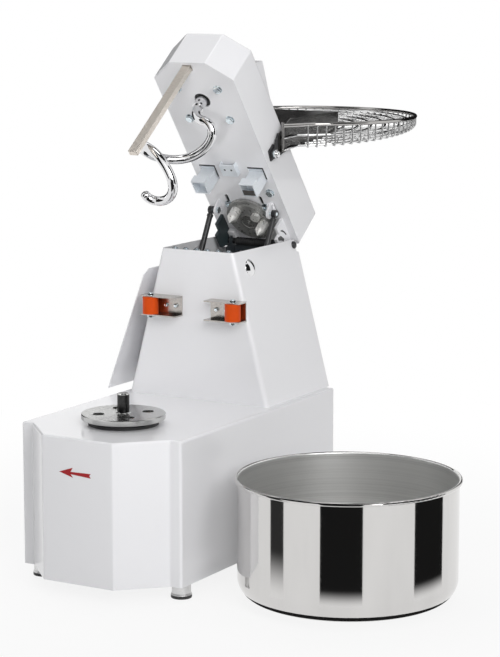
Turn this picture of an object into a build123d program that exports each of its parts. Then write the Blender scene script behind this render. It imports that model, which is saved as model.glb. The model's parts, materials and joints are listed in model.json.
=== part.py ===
from build123d import *
import math
import os

# Spiral dough mixer: its head is tilted up, its wire guard is swung back over the head
# and its bowl stands on the floor beside the cabinet.
# Millimetres. +Z is up, -Y is the front, +X is the right-hand side seen from the front.
# The origin lies on the floor under the axis of the bowl spindle.

# Clearances and stock
sheet = 2.0
seam = 0.3
running_fit = 0.05
bolt_fit = 0.2
overrun = 1.0
bolt_across_ratio = 3.4
bolt_head_ratio = 1.4
bolt_chamfer_share = 0.15

# Cabinet
cabinet_width = 394.0
cabinet_nose = 174.0
cabinet_shoulder = 90.0
cabinet_tail = 568.0
cabinet_flange = 27.0
cabinet_gap = 31.0
cabinet_height = 306.0
edge_radius = 5.0
floor_pan_thickness = 3.0
foot_radius = 22.0
foot_pad_height = 7.0
foot_inset = 24.0
front_foot_setback = 38.0
well_margin = 8.0

# Column
column_setback = 296.0
column_foot_half = 178.0
column_top_half = 91.0
column_height = 331.0
column_bend = 10.0
rear_tray_depth = 9.0
rear_tray_gap = 4.0
slot_rows = 6
slot_half = 54.0
slot_height = 6.0
slot_rise = 106.0
slot_step = 18.0
frame_plate_inner = 62.0
frame_plate_thickness = 6.0
frame_inset = 10.0
frame_waist_drop = 78.0
bridge_depth = 38.0
bridge_thickness = 6.0
bridge_drop = 8.0
bridge_bolt_radius = 4.5
bridge_bolt_count = 6
bridge_bolt_step = 27.3
deck_drop = 108.0
deck_thickness = 8.0
cap_bolt_radius = 19.0
cap_bolt_setback = 58.0
cap_bolt_drop = 38.0
cap_dome_height = 7.6
cap_hole_radius = 7.8
cap_shank_radius = 6.0
cap_shank_length = 12.0

# Head hinge
head_tilt = 52.4
hinge_inset = 8.0
hinge_drop = 11.5
hinge_pin_radius = 7.0
hinge_pin_proud = 4.0
hinge_pin_dome = 2.8
hinge_lug_radius = 13.0
sleeve_gap = 8.0
head_gap = 5.0

# Head
head_half = 99.5
head_nose_setback = 42.0
head_shoulder_setback = 86.3
head_nose_half = 45.3
head_tail = 12.0
head_height = 99.5
head_plate_thickness = 4.0
head_bolt_radius = 4.8
head_bolt_spread = 51.0
head_bolt_pitch = 43.0
head_bolt_setback = 10.0
plate_slot_offset = 44.0
plate_slot_half = 4.5
plate_slot_start = 45.0
plate_slot_length = 18.0
steady_bolt_offset = 76.5
steady_bolt_station = 144.5
head_hinge_plate_inner = 74.0
head_hinge_plate_thickness = 7.0
hinge_leaf_rear = 7.8
hinge_leaf_reach = 66.0
hinge_leaf_drop = 16.0
hinge_heel_reach = 46.0
hinge_heel_drop = 32.0
grip_inset = 81.0
grip_front_depth = 17.0
grip_depth = 116.0
grip_height = 27.0
grip_half = 95.0
grip_wall = 6.0
grip_rear_wall = 16.0

# Spiral and dough bar
spiral_setback = 148.0
spiral_shaft_radius = 13.0
spiral_collar_drop = 24.0
spiral_radius = 60.0
spiral_wire_radius = 10.0
spiral_start_drop = 84.0
spiral_pitch = 208.0
spiral_turn_start = 30.0
spiral_turn_level = 360.0
spiral_turn_end = 480.0
spiral_tip_radius = 18.0
spiral_hole_radius = 19.0
spiral_stops = 8
spiral_tangent_step = 0.5
bar_setback = 57.0
bar_offset = -4.0
bar_width = 20.0
bar_depth = 12.0
bar_length = 272.0
bar_root = 8.0
bar_edge = 0.8

# Coupling between column and head
coupling_station = 63.0
coupling_radius = 59.0
coupling_thickness = 6.0
coupling_drop = 2.1
coupling_hub_radius = 50.0
coupling_hub_thickness = 6.4
coupling_pin_circle = 40.0
coupling_pin_radius = 12.0
coupling_pin_length = 28.0
coupling_pin_point = 14.0
coupling_pin_tip = 0.8
coupling_pin_angles = (0, 120)
coupling_edge = 1.0
coupling_boss_length = 10.0
coupling_boss_radius = 11.0
coupling_boss_circle = 33.0
coupling_boss_angle = 38
coupling_dog_radius = 9.0
coupling_dog_height = 28.0
coupling_dog_angles = (60, 240)
coupling_mesh_gap = 5.0
lower_plate_radius = 57.0
lower_plate_thickness = 12.0

# Drive train
shaft_radius = 15.0
bearing_radius = 30.0
bearing_width = 15.0
housing_radius = 44.0
housing_bore_radius = 26.0
shaft_housing_depth = 75.0
foot_bearing_height = 30.0
flange_radius = 56.0
flange_thickness = 8.0
pulley_large_radius = 60.0
pulley_small_radius = 20.0
pulley_width = 20.0
pulley_lip = 4.0
pulley_lip_width = 3.0
belt_width = 12.0
pulley_drop = 52.0
belt_thickness = 5.0
belt_play = 0.4
motor_front_gap = 10.0
motor_housing_gap = 39.0
motor_gap = 8.0
motor_head_room = 19.0
motor_edge = 4.0
motor_lug_levels = (0.2, 0.7)
motor_lug_half = 30.0
motor_lug_height = 12.0
motor_shaft_radius = 10.0
wheel_radius = 150.0
pinion_radius = 25.5
chain_pitch = 12.7
chain_width = 7.0
tooth_depth_share = 0.3
tooth_profile = ((0.0, 0), (0.2, 0), (0.5, 1), (0.7, 1))
chain_thickness = 6.0
chain_drop = 147.0
wheel_thickness = 10.0
wheel_hole_count = 6
wheel_hole_radius = 31.8
wheel_hole_circle = 97.0
head_wheel_radius = 40.0
head_wheel_level = 84.0

# Turntable
drive_plate_radius = 88.6
drive_plate_thickness = 12.0
drive_plate_lift = 11.5
drive_hole_radius = 12.5
drive_hole_circle = 53.0
drive_hole_count = 4
drive_hole_start = 45
drive_plate_edge = 1.5
spindle_housing_lift = 30.0
spindle_radius = 13.0
spindle_seat_radius = 15.0
spindle_height = 42.0
spindle_seal_radius = 74.0

# Bowl
bowl_radius = 225.0
bowl_depth = 245.0
bowl_wall = 1.5
bowl_corner = 42.0
bowl_rim_radius = 4.0
bowl_foot_height = 10.0
bowl_foot_radius = 108.0
bowl_foot_wall = 4.0
bowl_plate_thickness = 3.0
bowl_peg_length = 6.0
bowl_peg_radius = 12.0
bowl_hub_radius = 24.0
bowl_hub_roof = 8.0
bowl_hub_edge = 6.0
bowl_gap_to_cabinet = 55.0
bowl_stand_y = 101.0

# Bowl guide rollers
roller_radius = 17.5
roller_height = 38.0
roller_rise = 182.5
roller_spread = 105.0
roller_reach = 24.0
roller_edge = 1.0
roller_pin_radius = 4.0
roller_pin_head = 6.4
roller_bracket_inner = 37.0
roller_bracket_sheet = 3.0
roller_bracket_lip = 9.6
bracket_screw_shares = (0.3, 0.8)
bracket_screw_radius = 4.4
bracket_screw_height = 4.0

# Latch blocks and fittings under the head
latch_inset = 67.0
latch_spread = 62.0
latch_width = 36.0
latch_length = 36.0
latch_drop = 52.0
latch_step = 10.0
latch_step_drop = 31.2
latch_root = 8.0
latch_edge = 1.0
latch_flange_thickness = 4.0
latch_pocket_wall = 3.0
latch_pocket_depth = 20.0
striker_inset = 48.0
striker_drop = 12.5
striker_half_width = 19.5
striker_half_length = 16.0
striker_thickness = 3.0
striker_hole_radius = 2.5
striker_hole_offset = 8.5
striker_hole_rise = 2.5
ear_station = 100.0
ear_drop = 21.5
ear_inner = 66.0
ear_thickness = 4.0
ear_lobe_radius = 12.0
ear_base_half = 15.0

# Gas struts
strut_spread = 82.2
strut_tube_radius = 6.2
strut_rod_radius = 4.0
strut_tube_length = 168.0
strut_eye_radius = 9.0
strut_eye_width = 10.0
strut_pin_radius = 4.0
strut_pin_head = 7.2
strut_pin_proud = 0.6
strut_neck_start = 6.3
strut_tube_start = 11.0
strut_tube_wall = 1.0
strut_tube_roof = 4.0
strut_tube_gland = 8.0
strut_rod_engaged = 24.0
strut_anchor_inset = 64.0
strut_anchor_drop = 198.0
strut_anchor_play = 12.5

# Guard
guard_station = 238.0
guard_level = 44.0
guard_radius = 263.0
guard_rim_drop = 59.5
guard_rim_wire = 4.0
guard_wire = 2.5
guard_spoke_wire = 2.0
guard_bend = 6.0
guard_depth_near = 56.0
guard_depth_far = 9.0
guard_wall_setback = 27.0
guard_wall_rear = 17.0
guard_wall_low = 74.0
guard_wall_cut_length = 56.0
guard_wall_cut_height = 30.0
guard_wall_sheet = 1.5
guard_ring_step = 32.0
guard_ring_count = 7
guard_spoke_step = 4.5
guard_spoke_long = 65.0
guard_spoke_short = 129.0
guard_spoke_bend_share = 0.8
guard_band_share = 0.47
guard_band_end = 120.0
guard_post_station = 28.0
guard_post_radius = 3.0
guard_post_foot = 8.0
guard_rim_bend_half = 150.0
guard_strap_thickness = 3.0
guard_strap_length = 62.0
guard_lug_radius = 11.0
guard_pin_radius = 5.0
guard_pin_head_radius = 8.5
guard_pin_head_height = 5.0
guard_pin_root = 6.0
guard_bracket_half = 15.0
guard_bracket_cut = 9.0
guard_bracket_thickness = 4.0
weld_gap = 0.05

# Control panel
panel_low_gap = 4.0
panel_foot_out = 59.0
panel_top_out = 30.0
panel_drop = 50.0
panel_length = 250.0
panel_corner = 14.0
button_radius = 14.0
button_height = 14.0
button_travel = 4.0
button_spacing = 60.0
button_stem_radius = 8.4
button_rise = 183.0
button_edge = 2.0
box_setback = 90.0
box_length = 150.0
box_low_gap = 40.0
box_top_gap = 60.0
spacer_radius = 6.0
spacer_rises = (0.3, 0.7)
spacer_shares = (0.15, 0.85)
gland_offset = 118.0
gland_level = 81.0
gland_radius = 10.0
gland_nut = 8.0
gland_neck_radius = 7.5
gland_length = 16.0
gland_bore_radius = 4.0

# Places that follow from the driving dimensions
cabinet_half = cabinet_width / 2
cabinet_top = cabinet_gap + cabinet_height
cabinet_nose_half = cabinet_half - cabinet_flange - (cabinet_nose - cabinet_shoulder)
fold_radius = edge_radius + 1.0
column_top = cabinet_top + column_height
slot_low = cabinet_top + slot_rise
frame_waist = column_top - frame_waist_drop
deck_height = column_top - deck_drop
panel_top = column_top - panel_drop
pulley_height = cabinet_top - pulley_drop
chain_height = cabinet_top - chain_drop
motor_length = deck_height - cabinet_top - motor_gap - motor_head_room
strut_anchor_y = column_setback + strut_anchor_inset
strut_anchor_z = column_top - strut_anchor_drop
column_lean = (column_foot_half - column_top_half) / column_height
frame_plate_outer = frame_plate_inner + frame_plate_thickness
hinge_y = cabinet_tail - hinge_inset
hinge_z = column_top - hinge_drop
head_nose = hinge_y - head_nose_setback
head_shoulder = hinge_y - head_shoulder_setback
grip_front = head_nose - grip_inset
grip_crest = grip_front - grip_front_depth
grip_rear = grip_front - grip_depth
spiral_station = hinge_y - spiral_setback
bar_station = hinge_y - bar_setback
latch_station = hinge_y - column_setback - latch_inset
striker_station = hinge_y - column_setback - striker_inset
head_floor = hinge_drop + head_gap
head_roof = head_floor + head_height
plate_top = head_floor + head_plate_thickness
coupling_y = hinge_y - coupling_station
motor_front = column_setback + motor_front_gap
motor_radius = (coupling_y - housing_radius - motor_housing_gap - motor_front) / 2
motor_setback = motor_front + motor_radius
coupling_back = head_floor - coupling_drop - coupling_thickness
coupling_face = coupling_back - coupling_hub_thickness
coupling_tip_z = hinge_z + coupling_face - coupling_pin_length - coupling_pin_point
lower_coupling_z = coupling_tip_z - coupling_mesh_gap
drive_plate_z = cabinet_top + drive_plate_lift
bowl_seat_z = drive_plate_z + drive_plate_thickness
roller_level = bowl_seat_z + roller_rise
bowl_outer = bowl_radius + bowl_wall
bowl_x = cabinet_half + bowl_gap_to_cabinet + bowl_outer
guard_reach = hinge_y - guard_station
guard_wall_front = guard_reach - guard_wall_setback
guard_open = 180.0 - head_tilt
guard_strap_inner = head_half + guard_bracket_thickness + seam
guard_strap_outer = guard_strap_inner + guard_strap_thickness
guard_wall_half = guard_strap_outer + guard_wall_sheet
guard_post_x = guard_wall_half + guard_rim_wire + weld_gap
panel_skin = 2 * (button_travel + sheet)

FULL_TURN = 360
HEAD = Pos(0, hinge_y, hinge_z) * Rot(-head_tilt, 0, 0)
GUARD = HEAD * Pos(0, -guard_station, guard_level) * Rot(-guard_open, 0, 0)


def save(node, *pieces):
    """Write the solids of one node to its own STEP file."""
    solids = [solid for piece in pieces for solid in piece.solids()]
    export_step(solids[0] if len(solids) == 1 else Compound(solids), f"parts/{node}.step")


def both_sides(piece):
    """A piece and its mirror image across the machine's middle plane."""
    return [piece, mirror(piece, Plane.YZ)]


def rod(radius, start, end):
    """A round bar from one point to another."""
    line = Line(start, end)
    return extrude(Plane(start, z_dir=line % 0) * Circle(radius), line.length)


def cross_rod(radius, x_start, x_end, y, z):
    """A round bar along X."""
    return rod(radius, (x_start, y, z), (x_end, y, z))


def upright(radius, x, y, z_low, z_high):
    """A round bar along Z."""
    return rod(radius, (x, y, z_low), (x, y, z_high))


def block(x0, x1, y0, y1, z0, z1):
    """A box between two corners."""
    return Pos((x0 + x1) / 2, (y0 + y1) / 2, (z0 + z1) / 2) * Box(x1 - x0, y1 - y0, z1 - z0)


def side_plate(points, x0, x1):
    """A flat plate standing across X, with its outline given as (y, z)."""
    face = make_face(Polyline(*[(x0, y, z) for y, z in points], close=True))
    return extrude(face, x1 - x0, dir=(1, 0, 0))


def hex_bolt(shank_radius, shank):
    """A hexagon bolt: its head rises from the XY plane and its shank goes down."""
    head = bolt_head_ratio * shank_radius
    cap = extrude(RegularPolygon(bolt_across_ratio * shank_radius / 2, 6, major_radius=False), head)
    cap = chamfer(cap.faces().sort_by(Axis.Z)[-1].edges(), bolt_chamfer_share * head)
    return cap + Pos(0, 0, -shank / 2) * Cylinder(shank_radius, shank)


def bearing(inner, outer, width):
    """A ring that stands for a ball bearing, with its seat at the XY plane."""
    ring = Cylinder(outer, width) - Cylinder(inner, width)
    return Pos(0, 0, width / 2) * ring


def chain_wheel(radius, bore, thickness):
    """A toothed chain wheel on the XY plane, with tooth tips on the radius."""
    teeth = round(2 * math.pi * radius / chain_pitch)
    points = []
    for tooth in range(teeth):
        for share, depth in tooth_profile:
            angle = 2 * math.pi * (tooth + share) / teeth
            reach = radius - depth * tooth_depth_share * chain_pitch
            points.append((reach * math.cos(angle), reach * math.sin(angle)))
    wheel = extrude(make_face(Polyline(*points, close=True)), thickness)
    return wheel - Pos(0, 0, thickness / 2) * Cylinder(bore, thickness)


def loop_round(first_y, first_radius, second_y, second_radius, thickness, width):
    """A belt or chain loop on the XY plane around two wheels on the Y axis."""
    def hull(grow):
        circles = [Pos(0, first_y) * Edge.make_circle(first_radius + grow),
                   Pos(0, second_y) * Edge.make_circle(second_radius + grow)]
        return make_hull(circles)
    return extrude(hull(belt_play + thickness), width) - extrude(hull(belt_play), width)


def pulley(radius, bore):
    """A lipped pulley on the XY plane."""
    lip = pulley_lip_width
    drum = Pos(0, 0, pulley_width / 2) * Cylinder(radius, pulley_width)
    drum += Pos(0, 0, lip / 2) * Cylinder(radius + pulley_lip, lip)
    drum += Pos(0, 0, pulley_width - lip / 2) * Cylinder(radius + pulley_lip, lip)
    return drum - Pos(0, 0, pulley_width / 2) * Cylinder(bore, pulley_width)


# Cabinet
def cabinet_plan():
    """The cabinet seen from above: a wedge nose between two narrow front flanges."""
    right = [(cabinet_half, cabinet_tail), (cabinet_half, -cabinet_shoulder),
             (cabinet_half - cabinet_flange, -cabinet_shoulder), (cabinet_nose_half, -cabinet_nose)]
    left = [(-x, y) for x, y in reversed(right)]
    return make_face(Polyline(*right, *left, close=True))


def cabinet_shell():
    """Folded sheet cabinet, open below, with holes for the spindle and the drive."""
    outer = Pos(0, 0, cabinet_gap) * extrude(cabinet_plan(), cabinet_height)
    outer = fillet(outer.edges().filter_by(Axis.Z), fold_radius)
    outer = fillet(outer.faces().sort_by(Axis.Z)[-1].edges(), edge_radius)
    plan = offset(cabinet_plan(), -sheet, kind=Kind.INTERSECTION)
    inner = Pos(0, 0, cabinet_gap) * extrude(plan, cabinet_height - sheet)
    inner = fillet(inner.edges().filter_by(Axis.Z), fold_radius - sheet)
    spindle_hole = upright(housing_radius, 0, 0, cabinet_top - 2 * sheet, cabinet_top + sheet)
    well_half = frame_plate_inner - sheet
    well = block(-well_half, well_half, column_setback + well_margin, cabinet_tail - well_margin,
                 cabinet_top - 2 * sheet, cabinet_top + sheet)
    return outer - inner - spindle_hole - well


def floor_pan():
    """Steel plate that closes the cabinet below and carries the feet and foot bearings."""
    plan = offset(cabinet_plan(), -(sheet + seam), kind=Kind.INTERSECTION)
    pan = extrude(plan, floor_pan_thickness)
    corners = pan.edges().filter_by(Axis.Z)
    return Pos(0, 0, cabinet_gap) * fillet(corners, fold_radius - sheet)


def foot_places():
    x = cabinet_half - foot_inset
    return [(sx * x, y) for sx in (-1, 1)
            for y in (front_foot_setback - cabinet_shoulder, cabinet_tail - front_foot_setback)]


def foot_stubs():
    return [upright(foot_radius - sheet, x, y, foot_pad_height, cabinet_gap) for x, y in foot_places()]


def foot_pads():
    pads = []
    for x, y in foot_places():
        pad = upright(foot_radius, x, y, 0, foot_pad_height)
        pads.append(fillet(pad.faces().sort_by(Axis.Z)[0].edges(), sheet))
    return pads


# Column
def column_half(z, inset=0.0):
    """Half the column's width at a height, measured to a skin below its surface."""
    return column_foot_half - column_lean * (z - cabinet_top) - inset * math.hypot(1, column_lean)


def column_block(y0, y1, z0, z1, inset):
    """A block with the column's leaning sides."""
    low = column_half(z0, inset)
    high = column_half(z1, inset)
    outline = [(-low, y0, z0), (low, y0, z0), (high, y0, z1), (-high, y0, z1)]
    return extrude(make_face(Polyline(*outline, close=True)), y1 - y0, dir=(0, 1, 0))


def bend_front_edges(piece, radius):
    front = piece.faces().sort_by(Axis.Y)[0]
    leaning = front.edges().filter_by(lambda edge: abs(edge.tangent_at(0.5).Z) > 0.5)
    return fillet(leaning, radius)


def column_shell():
    """Folded front and sides of the column, open above, below and behind."""
    outer = column_block(column_setback, cabinet_tail, cabinet_top, column_top, 0)
    outer = bend_front_edges(outer, column_bend)
    inner = column_block(column_setback + sheet, cabinet_tail + sheet,
                         cabinet_top - sheet, column_top + sheet, sheet)
    inner = bend_front_edges(inner, column_bend - sheet)
    pin_hole = cross_rod(hinge_pin_radius + bolt_fit, -column_foot_half, column_foot_half, hinge_y, hinge_z)
    cap_y, cap_z = cap_bolt_place()
    cap_hole = cross_rod(cap_hole_radius, -column_foot_half, column_foot_half, cap_y, cap_z)
    return outer - inner - pin_hole - cap_hole


def rear_tray():
    """Rear cover: a shallow tray with air slots, hung behind the column."""
    top = hinge_z - hinge_lug_radius - rear_tray_gap
    low = cabinet_top + seam
    outer = column_block(cabinet_tail, cabinet_tail + rear_tray_depth, low, top, 0)
    inner = column_block(cabinet_tail - sheet, cabinet_tail + rear_tray_depth - sheet,
                         low + sheet, top - sheet, sheet)
    tray = outer - inner
    for row in range(slot_rows):
        z = slot_low + slot_step * row
        tray -= block(-slot_half, slot_half, cabinet_tail, cabinet_tail + 2 * rear_tray_depth,
                      z, z + slot_height)
    return tray


def frame_plates():
    """Two steel plates that stand on the cabinet inside the column and carry the hinge."""
    front = column_setback + frame_inset
    rear = cabinet_tail - sheet
    bridge_rear = column_setback + sheet + bridge_depth
    bridge_low = column_top - bridge_drop - bridge_thickness
    tower = hinge_y - 2 * hinge_lug_radius
    outline = [(front, cabinet_top), (rear, cabinet_top), (rear, hinge_z),
               (tower, hinge_z - hinge_lug_radius), (tower, frame_waist),
               (bridge_rear, frame_waist), (bridge_rear, bridge_low), (front, bridge_low)]
    plate = side_plate(outline, frame_plate_inner, frame_plate_outer)
    plate += cross_rod(hinge_lug_radius, frame_plate_inner, frame_plate_outer, hinge_y, hinge_z)
    plate -= cross_rod(hinge_pin_radius + running_fit, 0, 2 * frame_plate_outer, hinge_y, hinge_z)
    plate -= cross_rod(strut_pin_radius + running_fit, 0, 2 * frame_plate_outer,
                       strut_anchor_y, strut_anchor_z)
    return both_sides(plate)


def bridge_bolt_places():
    y = column_setback + sheet + bridge_depth / 2
    middle = (bridge_bolt_count - 1) / 2
    return [(bridge_bolt_step * (bolt - middle), y) for bolt in range(bridge_bolt_count)]


def front_bridge():
    """Cross plate that ties the frame plates together behind the column's front wall."""
    high = column_top - bridge_drop
    half = column_half(column_top, sheet) - column_bend
    plate = block(-half, half, column_setback + sheet + seam, column_setback + sheet + bridge_depth,
                  high - bridge_thickness, high)
    for x, y in bridge_bolt_places():
        plate -= upright(bridge_bolt_radius + bolt_fit, x, y, high - 2 * bridge_thickness, high + overrun)
    return plate


def bridge_bolts():
    high = column_top - bridge_drop
    bolt = hex_bolt(bridge_bolt_radius, bridge_thickness)
    return [Pos(x, y, high) * bolt for x, y in bridge_bolt_places()]


def deck_plate():
    """Shelf between the frame plates, with the seat of the upright shaft's housing."""
    top = deck_height + deck_thickness
    shelf = block(-frame_plate_inner, frame_plate_inner, column_setback + frame_inset,
                  hinge_y - hinge_lug_radius, deck_height, top)
    return shelf - upright(housing_radius + seam, 0, coupling_y, deck_height - overrun, top + overrun)


def hinge_pin():
    """Hinge pin through the column, with domed ends outside the sheet."""
    half = column_half(hinge_z) + hinge_pin_proud
    pin = cross_rod(hinge_pin_radius, -half, half, hinge_y, hinge_z)
    return fillet(pin.edges(), hinge_pin_dome)


def hinge_sleeve():
    """Spacer tube on the hinge pin, between the frame plates."""
    reach = frame_plate_inner - sleeve_gap
    tube = cross_rod(hinge_pin_radius + sheet, -reach, reach, hinge_y, hinge_z)
    return tube - cross_rod(hinge_pin_radius + running_fit, -reach, reach, hinge_y, hinge_z)


def cap_bolt_place():
    return column_setback + cap_bolt_setback, column_top - cap_bolt_drop


def cap_bolts():
    """Large domed bolts that hold the column's sides to the frame."""
    y, z = cap_bolt_place()
    lean_angle = math.degrees(math.atan(column_lean))
    ball = (cap_bolt_radius ** 2 + cap_dome_height ** 2) / (2 * cap_dome_height)
    dome = Pos(0, 0, cap_dome_height - ball) * Sphere(ball)
    dome = split(dome, Plane.XY, keep=Keep.TOP)
    shank = Pos(0, 0, -cap_shank_length / 2) * Cylinder(cap_shank_radius, cap_shank_length)
    bolt = dome + shank
    place = Pos(column_half(z), y, z) * Rot(0, 90 - lean_angle, 0)
    return both_sides(place * bolt)


# Bowl guide rollers
def roller_y():
    return column_setback - roller_reach


def roller_brackets():
    """U-shaped brackets on the column's front wall."""
    outer = roller_spread + roller_radius + roller_bracket_sheet
    half = roller_height / 2 + seam
    front = roller_y() - roller_bracket_lip
    low = roller_level - half
    high = roller_level + half
    back = block(roller_bracket_inner, outer, column_setback - roller_bracket_sheet, column_setback,
                 low - roller_bracket_sheet, high + roller_bracket_sheet)
    lower = block(roller_bracket_inner, outer, front, column_setback, low - roller_bracket_sheet, low)
    upper = block(roller_bracket_inner, outer, front, column_setback, high, high + roller_bracket_sheet)
    bracket = back + lower + upper
    bracket -= upright(roller_pin_radius + running_fit, roller_spread, roller_y(),
                       low - roller_height, high + roller_height)
    return both_sides(bracket)


def roller_pins():
    """Vertical pins of the rollers, with a head above and a nut below."""
    reach = roller_height / 2 + seam + roller_bracket_sheet
    pin = upright(roller_pin_radius, roller_spread, roller_y(), roller_level - reach, roller_level + reach)
    for low in (roller_level + reach, roller_level - reach - roller_pin_radius):
        pin += upright(roller_pin_head, roller_spread, roller_y(), low, low + roller_pin_radius)
    return both_sides(pin)


def bracket_screws():
    screws = []
    face_y = column_setback - roller_bracket_sheet
    room = roller_spread - roller_radius - roller_bracket_inner
    for share in bracket_screw_shares:
        x = roller_bracket_inner + room * share
        head = rod(bracket_screw_radius, (x, face_y, roller_level),
                   (x, face_y - bracket_screw_height, roller_level))
        head = fillet(head.faces().sort_by(Axis.Y)[0].edges(), sheet)
        screws += both_sides(head)
    return screws


def roller():
    """One orange guide roller, on the right-hand bracket."""
    body = upright(roller_radius, roller_spread, roller_y(),
                   roller_level - roller_height / 2, roller_level + roller_height / 2)
    body = fillet(body.edges(), roller_edge)
    return body - upright(roller_pin_radius + running_fit, roller_spread, roller_y(),
                          roller_level - roller_height, roller_level + roller_height)


# Drive
def shaft_housing():
    """Flanged bearing housing of the upright shaft, seated on the deck."""
    seat = deck_height + deck_thickness
    top = seat + flange_thickness
    low = deck_height - shaft_housing_depth
    body = upright(housing_radius, 0, coupling_y, low, top)
    body += upright(flange_radius, 0, coupling_y, seat, top)
    body -= upright(bearing_radius, 0, coupling_y, low, low + bearing_width)
    body -= upright(bearing_radius, 0, coupling_y, top - bearing_width, top)
    return body - upright(housing_bore_radius, 0, coupling_y, low, top)


def shaft_bearings():
    top = deck_height + deck_thickness + flange_thickness
    low = deck_height - shaft_housing_depth
    ring = bearing(shaft_radius + running_fit, bearing_radius, bearing_width)
    return [Pos(0, coupling_y, low) * ring, Pos(0, coupling_y, top - bearing_width) * ring]


def foot_bearings():
    """Bearing blocks on the floor pan under the upright shaft and the bowl spindle."""
    low = cabinet_gap + floor_pan_thickness
    height = foot_bearing_height
    blocks = []
    for y in (0, coupling_y):
        body = upright(housing_radius, 0, y, low, low + height)
        blocks.append(body - upright(shaft_radius + running_fit, 0, y, low + sheet, low + height))
    return blocks


def upright_shaft():
    low = cabinet_gap + floor_pan_thickness + sheet + seam
    return upright(shaft_radius, 0, coupling_y, low, lower_coupling_z - lower_plate_thickness)


def lower_coupling():
    """Dog plate on top of the upright shaft: its dogs stand between the head's coupling pins."""
    low = lower_coupling_z - lower_plate_thickness
    plate = upright(lower_plate_radius, 0, coupling_y, low, lower_coupling_z)
    for angle in coupling_dog_angles:
        turn = math.radians(angle)
        x = coupling_pin_circle * math.cos(turn)
        y = coupling_y - coupling_pin_circle * math.sin(turn)
        plate += upright(coupling_dog_radius, x, y, lower_coupling_z, lower_coupling_z + coupling_dog_height)
    return plate


def shaft_pulley():
    return Pos(0, coupling_y, pulley_height) * pulley(pulley_large_radius, shaft_radius)


def shaft_pinion():
    return Pos(0, coupling_y, chain_height) * chain_wheel(pinion_radius, shaft_radius, wheel_thickness)


def drive_belt():
    ring = loop_round(motor_setback, pulley_small_radius, coupling_y, pulley_large_radius,
                      belt_thickness, belt_width)
    return Pos(0, 0, pulley_height + (pulley_width - belt_width) / 2) * ring


def bowl_chain():
    ring = loop_round(0, wheel_radius, coupling_y, pinion_radius, chain_thickness, chain_width)
    return Pos(0, 0, chain_height + (wheel_thickness - chain_width) / 2) * ring


def drive_motor():
    """Geared motor that hangs between the frame plates."""
    low = cabinet_top + motor_gap
    body = upright(motor_radius, 0, motor_setback, low, low + motor_length)
    body = fillet(body.edges(), motor_edge)
    for level in motor_lug_levels:
        z = low + motor_length * level
        body += block(-frame_plate_inner, frame_plate_inner, motor_setback - motor_lug_half,
                      motor_setback + motor_lug_half, z, z + motor_lug_height)
    shaft_hole = motor_shaft_radius + running_fit
    return body - upright(shaft_hole, 0, motor_setback, low - overrun, low + motor_length / 2)


def motor_pulley():
    """Belt pulley with its shaft, which turns in the motor."""
    wheel = Pos(0, motor_setback, pulley_height) * pulley(pulley_small_radius, motor_shaft_radius)
    top = cabinet_top + motor_gap + motor_length / 2 - sheet
    return wheel + upright(motor_shaft_radius, 0, motor_setback, pulley_height, top)


# Turntable
def spindle_housing():
    """Bearing housing of the bowl spindle, hung from the cabinet's top sheet."""
    top = cabinet_top - sheet
    low = chain_height + wheel_thickness + spindle_housing_lift
    body = upright(housing_radius, 0, 0, low, top) + upright(flange_radius, 0, 0, top - flange_thickness, top)
    body -= upright(bearing_radius, 0, 0, low, low + bearing_width)
    body -= upright(bearing_radius, 0, 0, top - bearing_width, top)
    return body - upright(housing_bore_radius, 0, 0, low, top)


def spindle_bearings():
    top = cabinet_top - sheet
    low = chain_height + wheel_thickness + spindle_housing_lift
    ring = bearing(shaft_radius + running_fit, bearing_radius, bearing_width)
    return [Pos(0, 0, low) * ring, Pos(0, 0, top - bearing_width) * ring]


def spindle_seal():
    """Black ring on the cabinet that keeps flour out of the spindle housing."""
    high = drive_plate_z - 2 * sheet
    ring = upright(spindle_seal_radius, 0, 0, cabinet_top, high)
    ring = fillet(ring.faces().sort_by(Axis.Z)[-1].edges(), sheet)
    return ring - upright(housing_radius + sheet, 0, 0, cabinet_top - overrun, high + overrun)


def round_places(circle, count, start):
    """Places spread evenly on a circle around the Z axis, from a start angle in degrees."""
    turns = [math.radians(start + FULL_TURN * place / count) for place in range(count)]
    return [(circle * math.cos(turn), circle * math.sin(turn)) for turn in turns]


def drive_hole_places():
    return round_places(drive_hole_circle, drive_hole_count, drive_hole_start)


def drive_plate():
    """Round plate that carries the bowl, with holes for the bowl's pegs."""
    plate = upright(drive_plate_radius, 0, 0, drive_plate_z, bowl_seat_z)
    plate = chamfer(plate.edges(), drive_plate_edge)
    for x, y in drive_hole_places():
        plate -= upright(drive_hole_radius, x, y, drive_plate_z - overrun, bowl_seat_z + overrun)
    bore_radius = spindle_seat_radius + running_fit
    return plate - upright(bore_radius, 0, 0, drive_plate_z - overrun, bowl_seat_z + overrun)


def bowl_spindle():
    """Spindle: its shaft turns in the housing, its seat carries the plate and its nose centres the bowl."""
    low = cabinet_gap + floor_pan_thickness + sheet + seam
    shaft = upright(shaft_radius, 0, 0, low, drive_plate_z)
    seat = upright(spindle_seat_radius, 0, 0, drive_plate_z, bowl_seat_z)
    nose = upright(spindle_radius, 0, 0, bowl_seat_z, bowl_seat_z + spindle_height)
    nose = chamfer(nose.faces().sort_by(Axis.Z)[-1].edges(), sheet)
    return shaft + seat + nose


def spindle_wheel():
    """Large chain wheel on the bowl spindle."""
    wheel = chain_wheel(wheel_radius, shaft_radius, wheel_thickness)
    for x, y in round_places(wheel_hole_circle, wheel_hole_count, 0):
        wheel -= upright(wheel_hole_radius, x, y, -overrun, wheel_thickness + overrun)
    return Pos(0, 0, chain_height) * wheel


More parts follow.
